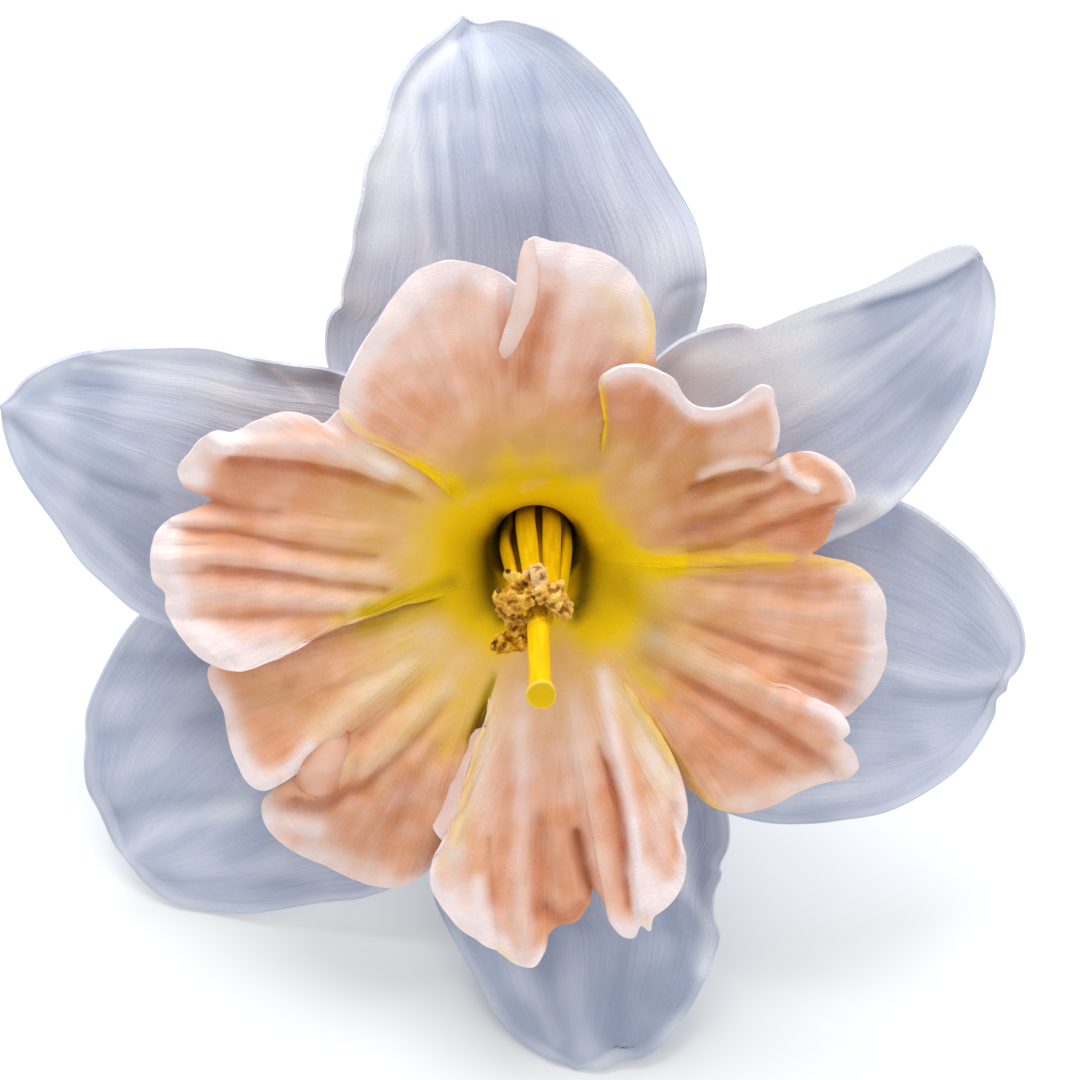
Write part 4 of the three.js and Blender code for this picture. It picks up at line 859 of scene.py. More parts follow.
        "strokes": strokeTable("""
    9.4 -5.2, 14.4 -7.2, 19.1 -8.9, 23.7 -10.5, 28 -11.7 | 0.8 -0.9 deep 0.8
    10 -3.6, 16 -4.6, 22 -5.6, 28 -6.6 | 1.2 0.4 pale 0.1
    12 -2.6, 18 -3.2, 24 -3.6, 30 -4 | 0.6 -0.3 deep 0.35
    24 -4.6, 28.5 -5.2, 32 -5 | 0.5 -0.25 deep 0.25
    10.1 -10.5, 15.1 -13.5, 20.1 -16.2, 23.7 -18.2, 27.7 -20.9, 29.6 -22.2 | 0.85 -1.1 deep 0.95
    10 -8.2, 15 -10.6, 19.6 -12.6, 23 -13.6 | 1.2 0.7 cream 0.3 pale 0.25
    22.6 -13.2, 25 -14.8, 28 -16.6, 30.6 -18.4 | 1.3 0.8 deep 0.1
    23 -13, 24.4 -14.6 | 0.7 0.3 deep 0.5
    27.4 -15.4, 28.6 -16, 30.2 -17, 30.9 -18 | 0.7 0.2 pale 0.85
    25.4 -13, 29 -14.2, 31.6 -15.2 | 1 -0.5 deep 0.7
    30.2 -20.2, 31.4 -21.4 | 1 0.2 pale 0.6 cream 0.3
    12 -14.8, 16 -18.6, 20 -22, 23.6 -24.4 | 1.4 0.4 deep 0.15
    17 -19.6, 22 -21.6, 27 -22 | 3 0 deep 0.3
    24 -13.9, 25.8 -15 | 0.9 0.5 deep -0.4 pale 0.1
    33 -14, 33.6 -9.6, 33 -5 | 2.8 0 pale 0.35 olive 0.1
    11.6 -13.4, 16 -16.6, 20.4 -19.6, 24.6 -22 | 0.9 -0.4 deep 0.4
    9 -14, 11.6 -16.8, 14 -20.4, 16.2 -24, 18.4 -26 | 0.35 0.1 yellow 0.4
    19 -25.4, 25 -23.8, 30 -22.2 | 1 0.1 pale 0.35 cream 0.3
    33.4 -13, 34.2 -9.6, 33.8 -5 | 1.3 0.1 pale 0.5
    29.6 -12.4, 32.4 -13.2 | 0.5 -0.3 deep 0.35
    30 -9.4, 33.4 -9.8 | 0.5 -0.3 deep 0.25
    27 -1.4, 31 -1.7, 33.2 -3 | 0.45 0.1 yellow 0.4 cream 0.35
    12 -2.4, 18 -2, 25 -1.5 | 0.7 0 yellow 0.6
    9.6 -12, 12 -14.2 | 1 -0.2 yellow 0.6 olive 0.15
    """)},
}


# Tints agree at a slit's end: each lobe meets its neighbour half way.
def shared(index, key, foot):
    order = list(lobes.values())
    before, here, after = (np.array(order[(index + step) % 6][key])[:, None] for step in (-1, 0, 1))
    low, high = 0.5 * smoothStep(0.2, 0, foot), 0.5 * smoothStep(0.8, 1, foot)
    return before * low + here * (1 - low - high) + after * high


def arc(start, middle, end, share):
    return (1 - share) ** 2 * start + 2 * share * (1 - share) * middle + share * share * end


def fromThroat(flat):
    return np.hypot(flat[..., 0], flat[..., 1] + 1)


def lobeGrid(index, spec):
    slope, throatRadius, lobeRows = (coronaShape[key] for key in ("slope", "throatRadius", "lobeRows"))
    ends = seen(slitEnds)
    start, stop = ends[index], ends[(index + 1) % 6]
    margin = np.array(spec["margin"])
    edge = smoothPath([start, *seen(margin), stop], coronaShape["perSpan"])
    knots = np.concatenate([[0], margin[:, 3], [1]])
    foot = np.interp(np.linspace(0, len(knots) - 1, len(edge)), range(len(knots)), knots)
    foot[4:-4] = np.convolve(foot, np.ones(9) / 9, "valid")
    startAngle = math.atan2(start[1], start[0])
    angle = startAngle + (math.atan2(stop[1], stop[0]) - startAngle) % (2 * math.pi) * foot
    reachIn = (np.hypot(*start[:2]) * (1 - foot) + np.hypot(*stop[:2]) * foot
               + coronaShape["ringBulge"] * np.sin(np.pi * foot))
    ring = polar(reachIn, angle, start[2] * (1 - foot) + stop[2] * foot)
    throat = polar(throatRadius, angle, coronaShape["throatHeight"])
    wallTop = throat * coronaShape["wallFlare"]
    wallTop[:, 2] = ring[:, 2] - slope * (reachIn - throatRadius)
    rows = [polar(radius, angle, height) for radius, height in smoothPath(coronaShape["lip"], 2)[:-1]]
    climb = np.linspace(0, 1, coronaShape["cupRows"], endpoint=False)
    rows += [arc(throat, wallTop, ring, share) for share in climb]
    cupRows = len(rows)
    reach = np.hypot(*(edge - ring)[:, :2].T)
    rising = ring[:, 2] + 0.5 * slope * reach
    window = np.hanning(coronaShape["levelWindow"])
    level = np.pad(edge[:, 2], len(window) // 2 - 1, "edge")
    level = np.convolve(level, window[1:-1] / window.sum(), "valid")
    for share in np.linspace(0, 1, lobeRows + 1):
        point = ring * (1 - share) + edge * share
        far = level * (1 - share * share) + edge[:, 2] * share * share
        point[:, 2] = arc(ring[:, 2], rising, far, share)
        rows.append(point)
    points = np.stack(rows)
    row = np.arange(len(rows))[:, None]
    out = np.maximum(row - cupRows, 0) / lobeRows
    rim = (1 - out) * reach
    before = points.copy()
    tone = blankTone(points)
    away = fromThroat(asSeen(points))
    addStrokes(points, tone, spec["strokes"])
    tone[..., 0] *= smoothStep(8, 18, away)
    addStrokes(points, tone, throatStrokes)
    # Strokes fade in from the cup, and the slit ends stay where they are.
    freed = smoothStep(0.3, 2.5, reach)
    points = before + (points - before) * (smoothStep(0.02, 0.25, out) * freed)[..., None]
    plan = points[..., :2]
    awayFromSlit = smoothStep(0.02, 0.12, foot) * smoothStep(0.98, 0.88, foot)
    frilled = smoothStep(5, 0, rim) * smoothStep(1.5, 5, reach) * awayFromSlit * (out > 0)
    fine, wide = coronaShape["frill"]
    points[..., 2] += frilled * (waves(plan, fine, index + 20) + waves(plan, wide, index + 30))
    fan = sum(np.sin(angle * count + count + 2 * out) for count in coronaShape["fanCounts"]) / 3
    soft = smoothStep(0.05, 0.4, out) * smoothStep(1, 4, reach)
    fanned = coronaShape["fanRise"] * fan * smoothStep(0, 2, rim)
    points[..., 2] += soft * (waves(plan, coronaShape["pucker"], index + 40) + fanned)
    flat = asSeen(points)
    away = fromThroat(flat)
    coarse, fine = coronaShape["mottle"]
    mottle = waves(flat, coarse, 50) + waves(flat, fine, 60)
    low, high = shared(index, "yellow", foot)
    tone[..., 2] += smoothStep(high, low, away + mottle)
    tone[..., 2] += (spec["slitEdge"] * smoothStep(0.8, 0.1, rim) * (1 - awayFromSlit)
                     * smoothStep(0, 0.2, out))
    low, high, amount = shared(index, "cream", foot)
    tone[..., 3] += amount * smoothStep(high, low, away + mottle)
    ringAt, ringWidth = coronaShape["deepRing"]
    deepRing = np.exp(-((away + mottle - ringAt) / ringWidth) ** 2)
    tone[..., 0] += spec["deepAt"] * deepRing + waves(flat, coronaShape["deepWaves"], 70)
    wide, amount, rimFrom, rimTo = spec["rim"]
    bareFrom, bareTo = spec["bare"]
    rimmed = smoothStep(rimFrom - 0.04, rimFrom + 0.04, foot) * smoothStep(rimTo + 0.04, rimTo - 0.04, foot)
    bare = smoothStep(bareFrom - 0.02, bareFrom, foot) * smoothStep(bareTo + 0.02, bareTo, foot)
    pale = smoothStep(wide, 0.15, rim + wide * (0.06 * fan + 0.15 * mottle)) * smoothStep(0.3, 0.7, out)
    tone[..., 1] += amount * rimmed * (1 - bare * (bareTo > 0)) * pale
    tone[..., 1] += waves(flat, coronaShape["paleWaves"], 80) * (row >= cupRows)
    # Dark olive painted inside the throat's lip as shade, only a quarter as much at the top.
    upwards = smoothStep(0.1, 0.75, np.sin(angle))
    tone[..., 4] += smoothStep(0.2, -1.2, points[..., 2]) * (1 - 0.75 * upwards)
    return asGrid(points, tone, angle * 16, away)


# Shade and light round the throat, shared by the lobes
throatStrokes = strokeTable("""
    -3.5 2.8, -4.2 1.2, -4.6 -1.2, -4.4 -4.4, -3.4 -7 | 1 0 olive 0.92
    4 2.2, 4.6 0.6, 4.9 -1.4, 4.7 -4.4, 3.9 -6.6 | 0.95 0 olive 0.9
    -5.4 0.6, -6 -1.7, -5.4 -6 | 1.2 0 olive 0.42 yellow 0.4
    5.9 -1, 6.2 -2.8, 5.5 -6 | 1.3 0 olive 0.38 yellow 0.4
    -7.8 0, -8 -3, -6.6 -7.4, -4 -9.6 | 1.5 0 olive 0.14 yellow 0.55
    7.8 0.2, 8.4 -2.8, 7.4 -7, 5 -9.4 | 1.6 0 olive 0.14 yellow 0.65
    -8.4 5.8, -5 7, -1 7.5, 3 7.6, 6 8.4 | 1 0 olive 0.2 deep 0.35
    -7 8.6, -3 10.2, 2 10.6, 6 11 | 1.8 0 deep 0.8 cream 0.3 olive 0.09
    5.6 6.9, 7.5 3.4, 10.6 0.5, 14.5 -0.3, 19 0 | 0.7 -0.3 deep 0.65
    4.6 4.6, 6.6 2.2, 9.6 -0.6, 14 -1.6 | 1 0 yellow 0.9
    -1.4 6.1, 0.2 6.6, 0.9 6.9 | 0.35 0 pale 0.35 yellow -0.3
    5.7 4.3, 7.4 2.9 | 0.5 0 cream 0.4 pale 0.15 yellow -0.5
    9 -4, 11.5 -7, 11.5 -10 | 2 0 olive 0.28
    4.7 3.6, 6.4 1.8 | 1 0 olive -0.45 yellow 0.2
    -6 5.4, -7.4 4.6 | 0.4 0 pale 0.25 yellow -0.3
    """)

# Folds that turn over the lobes: each is a strip from its root to its free edge. The deeper or paler tint
# at its edges is painted shade and painted highlight that round it off.
folds = {
    "top": {
        "root": table("""-0.3 30.9 10.2, 0.1 27.5 10.1, -0.3 24 9.7, -1.2 22 9.3, -2 20.3 8.9,
            -2.7 19.3 8.7, -3.2 19.1 8.7"""),
        "edge": table("""-1.1 30.7 10.6, -1.6 29.4 10.8, -1.9 27 10.9, -2.4 24 10.5, -3.2 21.6 10,
            -3.7 20 9.5, -3.4 19.2 9"""),
        "bulge": 0.55, "tint": {"pale": 0.88}, "edgeShading": {"deep": 0.3, "pale": -0.1}},
    "lowerLeft": {
        "root": table("-21 -18.6 8.6, -22.6 -20.6 8.9, -23.9 -22.6 8.6, -23.6 -24 8.1, -22.6 -24.6 7.8"),
        "edge": table("""-18.9 -18.3 7.8, -18.5 -19.6 7.7, -18.5 -21.4 7.6, -19.3 -23.5 7.5,
            -20.6 -24.6 7.5, -22 -24.9 7.6"""),
        "bulge": 1, "tint": {"pale": 0.32}, "edgeShading": {"deep": 0.9, "pale": -0.3}},
    "bottom": {
        "root": table("""-5.4 -18 6.8, -5.9 -19.6 7.4, -6.8 -22.4 8.3, -7.4 -24.8 8.7, -8.1 -27.5 9.1,
            -8.9 -29.5 9.2"""),
        "edge": table("""-5.9 -18.1 6.5, -6.9 -19.4 6.6, -8 -21.2 6.9, -9.3 -23.9 7.2, -10.1 -26.4 7.5,
            -10.2 -28 8, -9.2 -29.4 8.9"""),
        "bulge": -0.25, "tint": {"pale": 0.75, "olive": 0.08}, "edgeShading": {"pale": 0.2}},
}
foldShape = {"across": 15, "along": 60, "ruffle": (0.1, 3), "mottle": (0.15, 3)}


def foldGrid(spec, number):
    across, along = np.linspace(0, 1, foldShape["across"])[:, None], np.linspace(0, 1, foldShape["along"])
    root, edge = (atShares(smoothPath(seen(spec[side]), 12), along) for side in ("root", "edge"))
    points = root * (1 - across[..., None]) + edge * across[..., None]
    points[..., 2] += spec["bulge"] * np.sin(np.pi * across) * np.sin(np.pi * along) ** 0.7
    plan = points[..., :2]
    points[..., 2] += waves(plan, foldShape["ruffle"], number + 90) * across
    tone = blankTone(points)
    for name, amount in spec["tint"].items():
        tone[..., tintNames.index(name)] = amount * (0.85 + waves(plan, foldShape["mottle"], number + 95))
    # Painted shade and highlight at the fold's edges
    for name, amount in spec["edgeShading"].items():
        tone[..., tintNames.index(name)] += amount * (across ** 4 + along ** 5 + (1 - across) ** 6)
    return asGrid(points, tone, across * 4 + 100 * number, along * 12)


# Corona tints: the deep tint is deeper peach and also painted shade in grooves and under folds, the pale
# tint is the pale margin and also painted highlight on crests, and the olive is painted shade in the throat
# and the slits.
coronaTint = {
    "body": (232, 162, 118), "blush": (242, 186, 154), "deep": (192, 104, 50), "pale": (252, 238, 238),
    "yellow": (252, 206, 0), "cream": (232, 190, 92), "olive": (76, 62, 0),
}
coronaPattern = {
    "veins": (1, 3, (2.2, 0.12, 0), 0.4, 0.68), "threads": (1, 2, (5.5, 0.22, 0), 0.42, 0.7),
    "cells": (5.2, 4, (1, 1, 0), 0.32, 0.68), "clouds": (0.22, 2, (1.4, 1, 0), 0.32, 0.68),
}


def coronaMaterial():
    material, shader, wire = newMaterial("corona peach", 0.5, Subsurface_Weight=0.12, Subsurface_Scale=0.5,
                                         Subsurface_Radius=(0.003, 0.0018, 0.001), Specular_IOR_Level=0.1)
    tone, cream, grain, (veins, threads, cells, clouds) = sheetWires(wire, coronaPattern)
    opened = 0.15 + 0.85 * grain.axis(1).between(9, 22)  # the throat is smooth
    veins, threads = veins * opened, threads * opened
    colour = clouds.blend(coronaTint["body"], coronaTint["blush"])
    for name, amount in (("deep", veins * 0.13), ("pale", threads * 0.1), ("deep", tone.channel(0) * 0.62),
                         ("cream", cream * 0.85), ("pale", tone.channel(1) * (0.8 + 0.2 * cells)),
                         ("blush", cells * 0.14), ("yellow", tone.channel(2)),
                         ("olive", grain.axis(2) * 0.9)):
        colour = colour.to(coronaTint[name], amount)
    plug(colour, shader, "Base Color")
    plug(0.46 + cells * 0.14, shader, "Roughness")
    bumped(shader, veins * 0.6 + threads * 0.35 + cells * 0.3, 0.4, 0.0003)
    return material


halves = {"upper": ["upperRight", "top", "left"], "lower": ["lowerLeft", "bottom", "lowerRight"]}
sheets = {}
for half, members in halves.items():
    grids = [lobeGrid(list(lobes).index(name), lobes[name]) for name in members]
    grids += [foldGrid(folds[name], number) for number, name in enumerate(members) if name in folds]
    sheets[f"corona_{half}_lobes"] = grids
sheetPieces(sheets, coronaShape["thickness"], coronaMaterial(), "corona", "corona")
print("corona made")


def unit(rows):
    return rows / np.linalg.norm(rows, axis=1)[:, None]


# Angles round a piece, and its flutes there: how many, and how deep
def section(shape):
    count, depth = shape["flutes"]
    around = np.linspace(0, 2 * np.pi, shape["sides"], endpoint=False)
    return around, 1 + depth * np.cos(count * around)


# Rings of points joined up. "grain" is the share of the way round, mm along and how far inwards.
def ringPiece(name, points, around, along, inwards, ends, material, slot, node):
    rings, sides = points.shape[:2]
    corner = np.arange(rings * sides).reshape(rings, sides)
    if ends == "joined":
        corner = np.concatenate([corner, corner[:1]])
    beside = np.roll(corner, -1, 1)
    faces = np.stack([corner[:-1], corner[1:], beside[1:], beside[:-1]], -1).reshape(-1, 4).tolist()
    if ends == "capped":
        faces += [corner[0].tolist(), corner[-1][::-1].tolist()]
    mesh = bpy.data.meshes.new(name)
    mesh.from_pydata(inRoom(points.reshape(-1, 3)).tolist(), [], faces)
    grain = np.stack(np.broadcast_arrays(around / 6.283, along[:, None], inwards[:, None]), -1)
    keepValues(mesh, "grain", grain.reshape(-1, 3))
    tidyMesh(mesh)
    settle(addObject(name, mesh), material, slot, node)


# Rods: an oval section along a smooth path. Widths are (share of the length, half width, half depth),
# and end rings (share of the last ring's size, how far they lie beyond it). A slant tilts the end face.
def rodPiece(name, path, shape, facing, material, slot, node):
    path = smoothPath(path, 24)
    shares = (1 - np.cos(np.linspace(0, np.pi, shape["rings"]))) / 2
    centre = atShares(path, shares)
    along = unit(ahead(path, shares, 0.01))
    across = unit(np.cross(along, facing))
    depth = np.cross(across, along)
    places, *columns = np.array(shape["widths"], float).T
    size = np.stack([np.interp(shares, places, column) for column in columns], -1)
    if not shape["endRings"]:
        size *= np.sqrt(np.clip(1 - np.abs(2 * shares - 1) ** 24, 0, 1))[:, None]
    around, wave = section(shape)
    points = (centre[:, None] + across[:, None] * (size[:, :1] * np.cos(around) * wave)[..., None]
              + depth[:, None] * (size[:, 1:] * np.sin(around) * wave)[..., None])
    if "slant" in shape:
        face = along[-1] + shape["slant"] * toViewer
        lean = smoothStep(0.97, 1, shares)[:, None] * ((points - centre[:, None]) @ face)
        points -= (lean / (along[-1] @ face))[..., None] * along[-1]
    caps = [centre[-1] + (points[-1] - centre[-1]) * share + along[-1] * beyond
            for share, beyond in shape["endRings"]]
    points = np.concatenate([points, np.reshape(caps, (-1, shape["sides"], 3))])
    length = np.linalg.norm(np.diff(path, axis=0), axis=1).sum()
    gone = np.concatenate([shares, np.ones(len(caps))]) * length
    inwards = np.concatenate([0 * shares, [1 - share for share, beyond in shape["endRings"]]])
    ringPiece(name, points, around, gone, inwards, "capped", material, slot, node)


# Turned pieces: an outline of (radius, height) round the flower's axis. The last rows may be a lining: the
# inside wall, which its material paints dark as shade.
def turnedPiece(name, outline, shape, material, slot, node, lined=0):
    around, wave = section(shape)
    radius, height = outline[:, :1], outline[:, 1:]
    columns = radius * wave * np.cos(around), radius * wave * np.sin(around), height
    points = np.stack(np.broadcast_arrays(*columns), -1)
    inside = np.arange(len(outline)) >= len(outline) - lined
    ends = "joined" if lined else "open"
    ringPiece(name, points, around, outline[:, 1], inside, ends, material, slot, node)


def plainMaterial(name, tints, roughness, patch, bump, liningShade=None, **fixed):
    material, shader, wire = newMaterial(name, roughness, **fixed)
    place = wire.node("ShaderNodeTexCoord", {}, {}, "Object")
    grain = wire.attribute("grain", "Vector")
    streaks = grain.noise(1, 2, (14, 0.25, 0)).between(0.35, 0.7)
    specks = place.noise(patch * 6, 3).between(0.35, 0.7)
    colour = place.noise(patch, 3).between(0.3, 0.7).blend(tints[0], tints[1]).to(tints[2], streaks * 0.4)
    # The inside wall is painted dark olive: painted shade.
    if liningShade:
        colour = colour.to(liningShade, grain.axis(2))
    plug(colour, shader, "Base Color")
    plug(roughness + specks * 0.12, shader, "Roughness")
    bumped(shader, streaks * 0.5 + specks * 0.5, 0.4, bump)
    return material


# Stamens: filaments rise from the wall of the tube, and a shrivelled anther lies on each.
# An anther is a few lumpy arms of (x, y, height, radius), with dark tips.
stamens = [
    {"angle": 110, "top": (-0.4, -3, 12.8), "cream": 0.75, "tips": [],
     "arms": [table("-0.4 -3 13.2 0.7, -0.1 -2.9 14.2 1, 0.1 -2.6 15 1"),
              table("0.1 -3.4 14.8 0.85, 0.2 -4.4 15.4 0.8")]},
    {"angle": 170, "top": (-2.1, -4, 12.4), "cream": 0.1, "tips": [(-2.8, -2.3, 15.8), (-1, -3.6, 16)],
     "arms": [table("-2.6 -2.5 15.4 0.45, -2 -2.9 15.3 0.56, -1.2 -3.5 15.2 0.66, -0.8 -4.1 15 0.75"),
              table("-2.4 -4 12.4 0.42, -1.6 -4.1 14 0.6, -1 -4 15 0.66")]},
    {"angle": 230, "top": (-2.5, -6.9, 12), "cream": 0.1, "tips": [(-3.7, -4.3, 15.9)],
     "arms": [table("-3.5 -4.9 15.2 0.76, -3.2 -5.7 15.1 0.8, -2.7 -6.4 14.9 0.78, -2 -7.2 14.3 0.6"),
              table("-2.7 -7.7 13 0.42, -2.5 -6.9 14.2 0.5"),
              table("-2.5 -4.8 15.3 0.76, -1.7 -5.5 15.5 0.86, -0.9 -4.8 15.7 0.84")]},
    {"angle": 290, "top": (0.9, -8, 12.4), "cream": 0, "tips": [(-4.3, -9.4, 15.7), (-3.1, -9.7, 16)],
     "arms": [table("""0.1 -7.9 13.2 0.4, -0.9 -7.4 13.9 0.6, -1.6 -8.2 14.3 0.66, -2.9 -8.9 14.8 0.62,
                  -3.8 -9.6 15.1 0.7"""),
              table("-3.9 -9.9 15.1 0.62, -2.7 -9.9 15.3 0.6, -1.2 -9.7 15.3 0.55"),
              table("-1.1 -8.1 14 0.5, -1.1 -9.4 14.9 0.5")]},
    {"angle": 10, "top": (2.5, -5.2, 12.6), "cream": 0.2, "tips": [],
     "arms": [table("2.9 -5.4 12.8 0.45, 2.7 -5.9 14 0.66, 2.8 -6.4 15.2 0.78"),
              table("2.7 -6.2 15.2 0.76, 2 -5.4 15.6 0.85")]},
    {"angle": 60, "top": (1.5, -4, 12.8), "cream": 0.2, "tips": [(-0.3, -5, 16.5)],
     "arms": [table("1.9 -3.8 12.8 0.45, 1.8 -4.2 14 0.66, 1.4 -4.6 15.4 0.9, 0.5 -4.7 15.8 0.8"),
              table("1.5 -4.6 15.5 0.8, 2.3 -4.8 15.6 0.72"),
              table("2 -4.2 15 0.45, 2.5 -3.8 15.1 0.48")]},
]
filamentShape = {
    "footHeight": -13, "footRadius": 2.65, "mouthRadius": 3.15, "sides": 20, "rings": 60,
    "widths": [(0, 0.78, 0.385), (0.3, 0.975, 0.55), (0.7, 0.975, 0.55), (1, 0.82875, 0.495)],
    "flutes": (2, 0.06), "endRings": [],
}
antherShape = {"voxel": 0.08, "lump": (0.17, 1), "fold": (0.05, 0.9), "grain": (0.06, 0.5), "tip": 0.34}
antherTint = {
    "gold": (206, 142, 10), "light": (240, 190, 44), "cream": (255, 228, 190), "crestHighlight": (252, 216, 116),
    "recessShade": (120, 62, 6), "pit": (200, 140, 30), "tip": (56, 26, 16),
}


def antherMaterial():
    material, shader, wire = newMaterial("anther pollen", 0.8, Specular_IOR_Level=0.1)
    place = wire.node("ShaderNodeTexCoord", {}, {}, "Object")
    tone = wire.attribute("tone", "Color")
    raised = tone.channel(2)
    pits = place.noise(2600, 3).between(0.35, 0.65)
    clouds = place.noise(700, 2).between(0.38, 0.64)
    colour = clouds.blend(antherTint["gold"], antherTint["light"])
    # Painted shade and light on the lumps: darker in the recesses, lighter on the crests.
    for name, amount in (("cream", tone.channel(1) * (0.55 + 0.45 * clouds)),
                         ("crestHighlight", raised.between(0.6, 0.95) * 0.5),
                         ("recessShade", (1 - raised.between(0.16, 0.56)) * 0.85), ("pit", (1 - pits) * 0.3),
                         ("tip", tone.channel(0).between(0.25, 0.75) * (0.75 + 0.25 * pits))):
        colour = colour.to(antherTint[name], amount)
    plug(colour, shader, "Base Color")
    bumped(shader, pits, 0.6, 0.00012)
    return material


def addBall(shape, place, radius, subdivisions):
    bmesh.ops.create_icosphere(shape, subdivisions=subdivisions, radius=radius / 1000,
                               matrix=Matrix.Translation(Vector(inRoom(place))))


def lumpPiece(name, stamen, material, slot, node, seed):
    draw = random.Random(seed)
    shape = bmesh.new()
    for arm in stamen["arms"]:
        for x, y, z, radius in smoothPath([(*seen(point), point[3]) for point in arm], 7):
            place = [x + draw.uniform(-0.1, 0.1), y + draw.uniform(-0.1, 0.1), z]
            addBall(shape, place, radius * draw.uniform(0.8, 1.12), 2)
    piece = addObject(name, meshOf(shape, name))
    fused = piece.modifiers.new("fused", "REMESH")
    fused.mode = "VOXEL"
    fused.voxel_size = antherShape["voxel"] / 1000
    settle(piece, material, slot, node)
    vertices = piece.data.vertices
    places, normals = np.empty((2, len(vertices) * 3), np.float32)
    vertices.foreach_get("co", places)
    vertices.foreach_get("normal", normals)
    places, normals = places.reshape(-1, 3), normals.reshape(-1, 3)
    inFlower = (places * 1000 - shift) @ turn
    crumple = 1 - 2 * np.abs(np.clip(ripple(inFlower, antherShape["fold"][1], seed + 2), -1, 1))
    push = waves(inFlower, antherShape["lump"], seed) + antherShape["fold"][0] * crumple
    push += waves(inFlower, antherShape["grain"], seed + 1)
    places += normals * push[:, None] / 1000
    vertices.foreach_set("co", places.ravel())
    values = np.zeros((len(places), 4), np.float32)  # tip, cream, raised
    for x, y, z in stamen["tips"]:
        near = np.linalg.norm(asSeen(inFlower) - (x, y), axis=1)
        values[:, 0] += np.exp(-(near / antherShape["tip"]) ** 2) * (inFlower[:, 2] > z - 1.2)
    values[:, 1] = stamen["cream"]
    values[:, 2] = 0.5 + push / (2 * (antherShape["lump"][0] + antherShape["fold"][0]))
    keepValues(piece.data, "tone", np.clip(values, 0, 1))
    piece.data.update()


filamentYellow = plainMaterial("filament yellow", [(232, 186, 2), (240, 200, 8), (190, 146, 0)], 0.45, 300,
                               0.0001, Specular_IOR_Level=0.1, Subsurface_Weight=0.1,
                               Subsurface_Radius=(0.001, 0.0008, 0.0002))
antherGold = antherMaterial()
for number, stamen in enumerate(stamens, 1):
    angle = math.radians(stamen["angle"])
    foot = polar(filamentShape["footRadius"], angle, filamentShape["footHeight"])
    mouth = polar(filamentShape["mouthRadius"], angle, 0)
    top = seen(stamen["top"])
    path = [foot, (foot + mouth) / 2, mouth, mouth * 0.45 + top * 0.55, top]
    rodPiece(f"filament_{number}_skin", path, filamentShape, polar(1, angle, 0), filamentYellow, "filament",
             f"filament_{number}")
    lumpPiece(f"anther_{number}_skin", stamen, antherGold, "anther", f"anther_{number}", number * 7)
print("stamens made")

# Style, ending in a flared stigma that is cut off flat
styleShape = {
    "path": [(0, 0, -21.35), (0, 0, 0), (0.1, -0.6, 8), (0.2, -1.7, 14), (0.3, -3.1, 19),
        (0.4, -4.6, 23), (0.5, -5.5, 25.4)],
    "widths": [(0, 0.7, 0.7), (0.4, 0.85, 0.85), (0.7, 1.06, 1.06), (0.94, 1.06, 1.06),
        (0.964, 1.1, 1.1), (0.982, 1.24, 1.24), (0.994, 1.4, 1.4), (1, 1.46, 1.46)],
    "endRings": [(0.995, 0.05), (0.96, 0.1), (0.9, 0.1), (0.84, 0.06), (0.7, 0), (0.5, -0.03),
        (0.25, -0.02), (0.06, 0)],
    "slant": 0.5, "flutes": (3, 0.03), "sides": 48, "rings": 150,
}
styleTint = {
    "body": (236, 182, 0), "streak": (250, 202, 0), "lip": (255, 236, 140), "face": (228, 188, 0),
    "dustAndShade": (150, 92, 12),
}


def styleMaterial():
    material, shader, wire = newMaterial("style yellow", 0.45, Specular_IOR_Level=0.12,
                                         Subsurface_Weight=0.08, Subsurface_Radius=(0.001, 0.0008, 0.0002))
    place = wire.node("ShaderNodeTexCoord", {}, {}, "Object")
    grain = wire.attribute("grain", "Vector")
    along, inwards = grain.axis(1), grain.axis(2)
    specks = place.noise(1700, 3).between(0.42, 0.6)
    # Below the anthers the style is painted brown: pollen dust, and painted shadow of the anthers.
    dustAndShade = along.between(32, 35) * (1 - along.between(36.6, 39.4))
    face = inwards.between(0.06, 0.2)
    lip = along.between(46.7, 47.3) * (1 - face)
    streaks = grain.noise(1, 2, (12, 0.2, 0)).between(0.35, 0.7) * (1 - inwards.between(0, 0.01))
    colour = streaks.blend(styleTint["body"], styleTint["streak"]).to(styleTint["lip"], lip * 0.3)
    colour = colour.to(styleTint["face"], face * (0.5 + 0.5 * place.noise(900, 2).between(0.35, 0.65)))
    colour = colour.to(styleTint["dustAndShade"], dustAndShade * (0.35 + 0.65 * specks) * 0.8)
    plug(colour, shader, "Base Color")
    bumped(shader, streaks * 0.4 + specks * (0.2 + dustAndShade), 0.5, 0.0001)
    return material


rodPiece("style_skin", styleShape["path"], styleShape, (0, 1, 0), styleMaterial(), "style", "style")

# Pollen that has fallen on the style under the anthers
pollen = {
    "grains": 260, "low": 12.2, "high": 17.4, "thickest": 0.45, "fromAxis": 1.03, "radii": (0.045, 0.1),
    "tints": [(250, 204, 60), (255, 222, 110), (200, 150, 20)], "seed": 31,
}


def pollenPiece():
    draw = random.Random(pollen["seed"])
    route = smoothPath(styleShape["path"], 24)
    low, high = pollen["low"], pollen["high"]
    shape = bmesh.new()
    for grain in range(pollen["grains"]):
        height = draw.triangular(low, high, low + pollen["thickest"] * (high - low))
        centre = np.array([np.interp(height, route[:, 2], axis) for axis in route.T])
        angle = draw.uniform(0, 2 * math.pi)
        addBall(shape, centre + pollen["fromAxis"] * polar(1, angle, 0), draw.uniform(*pollen["radii"]), 1)
    material = plainMaterial("pollen grains", pollen["tints"], 0.7, 900, 0.0001)
    settle(addObject("pollen_dust", meshOf(shape, "pollen_dust")), material, "anther")


pollenPiece()
print("style made")

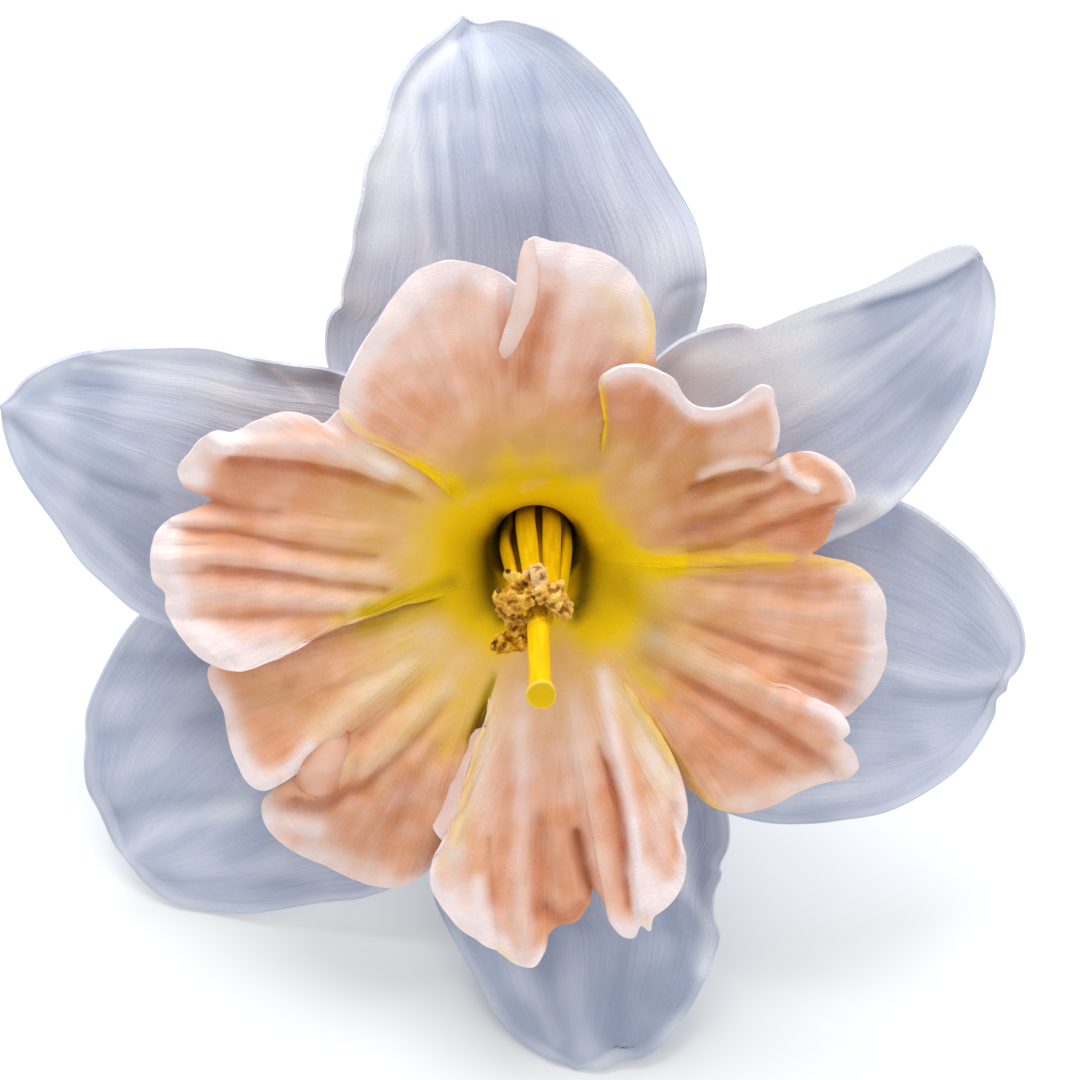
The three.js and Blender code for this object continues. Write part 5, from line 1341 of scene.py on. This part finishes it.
# Behind the petals: tube, ovary and stalk
tubeShape = {
    "profile": [(3.5, 0), (3.72, 2.4), (4, 6), (4.6, 13), (5.1, 18), (5.5, 21.4)], "foot": -21.65,
    "top": -0.6, "wall": 0.9, "lipThinner": 0.4, "footHole": 1.7, "flutes": (6, 0.03), "sides": 96,
}
stalkShape = {
    "widths": [(0, 1.98, 1.98), (0.2, 1.86, 1.86), (0.6, 1.8, 1.8), (1, 1.85, 1.85)],
    "flutes": (5, 0.035),
    "endRings": [(0.97, 0.04), (0.9, 0.03), (0.8, -0.06), (0.5, -0.12), (0.2, -0.1)], "sides": 48,
    "rings": 50,
}
greens = {
    "tube": [(176, 178, 62), (206, 196, 40), (120, 140, 50)], "liningShade": (112, 92, 4),
    "ovary": [(92, 124, 48), (112, 142, 58), (70, 98, 36)],
    "stalk": [(104, 134, 58), (122, 150, 70), (84, 112, 44)],
}
tubeGreen = plainMaterial("tube green", greens["tube"], 0.42, 120, 0.0002, greens["liningShade"])
ovaryGreen = plainMaterial("ovary green", greens["ovary"], 0.4, 200, 0.0003)
stalkGreen = plainMaterial("stalk green", greens["stalk"], 0.45, 200, 0.0003)


def outlineOf(shape, foot, perSpan):
    return smoothPath([(radius, foot + height) for radius, height in shape["profile"]], perSpan)


outer = outlineOf(tubeShape, tubeShape["foot"], 10)
outer[:, 1] = np.minimum(outer[:, 1], tubeShape["top"])
thinner = smoothStep(-4, tubeShape["top"], outer[:, 1]) * tubeShape["lipThinner"]
inner = (outer - np.stack([tubeShape["wall"] - thinner, 0 * thinner], -1))[::-1]
inner[-1, 0] = tubeShape["footHole"]
wall = np.concatenate([outer, inner])
turnedPiece("perianth_tube_skin", wall, tubeShape, tubeGreen, "tube", "perianth_tube", len(inner))
outline = outlineOf(ovaryShape, ovaryShape["top"], 6)
turnedPiece("ovary_skin", outline, ovaryShape, ovaryGreen, "ovary", "ovary")
straightStart = [stalkPath[0], (0, 0, ovaryFoot - 0.9)]
rodPiece("stalk_skin", straightStart + stalkPath[1:], stalkShape, (1, 0, 0), stalkGreen, "stalk", "stalk")
print("tube, ovary and stalk made")

# Floor and light: lamps are (name, place, size, power).
room = {
    "floorSize": 6, "floorColour": (0.9, 0.9, 0.9, 1), "sky": (0.93, 0.96, 1, 1), "skyStrength": 0.75,
    "lamps": [("key", (-0.25, 0.45, 0.7), 0.5, 5.5), ("fill", (0.6, -0.5, 0.6), 0.8, 1.5)],
}


def lightRoom():
    bpy.ops.mesh.primitive_plane_add(size=room["floorSize"], location=(0, 0, 0))
    floor = bpy.context.object
    floor.name = "floor"
    floor.data.materials.append(newMaterial("floor", 0.9, Base_Color=room["floorColour"])[0])
    world = bpy.data.worlds.new("studio")
    bpy.context.scene.world = world
    world.use_nodes = True
    sky = world.node_tree.nodes["Background"].inputs
    sky["Color"].default_value = room["sky"]
    sky["Strength"].default_value = room["skyStrength"]
    for name, place, size, power in room["lamps"]:
        lamp = bpy.data.lights.new(name, "AREA")
        lamp.size = size
        lamp.energy = power
        holder = addObject(name, lamp)
        holder.location = place
        holder.rotation_euler = (Vector((0, 0, 0.03)) - Vector(place)).to_track_quat("-Z", "Y").to_euler()
    bpy.context.scene.view_settings.view_transform = "Standard"


lightRoom()
print("light set")
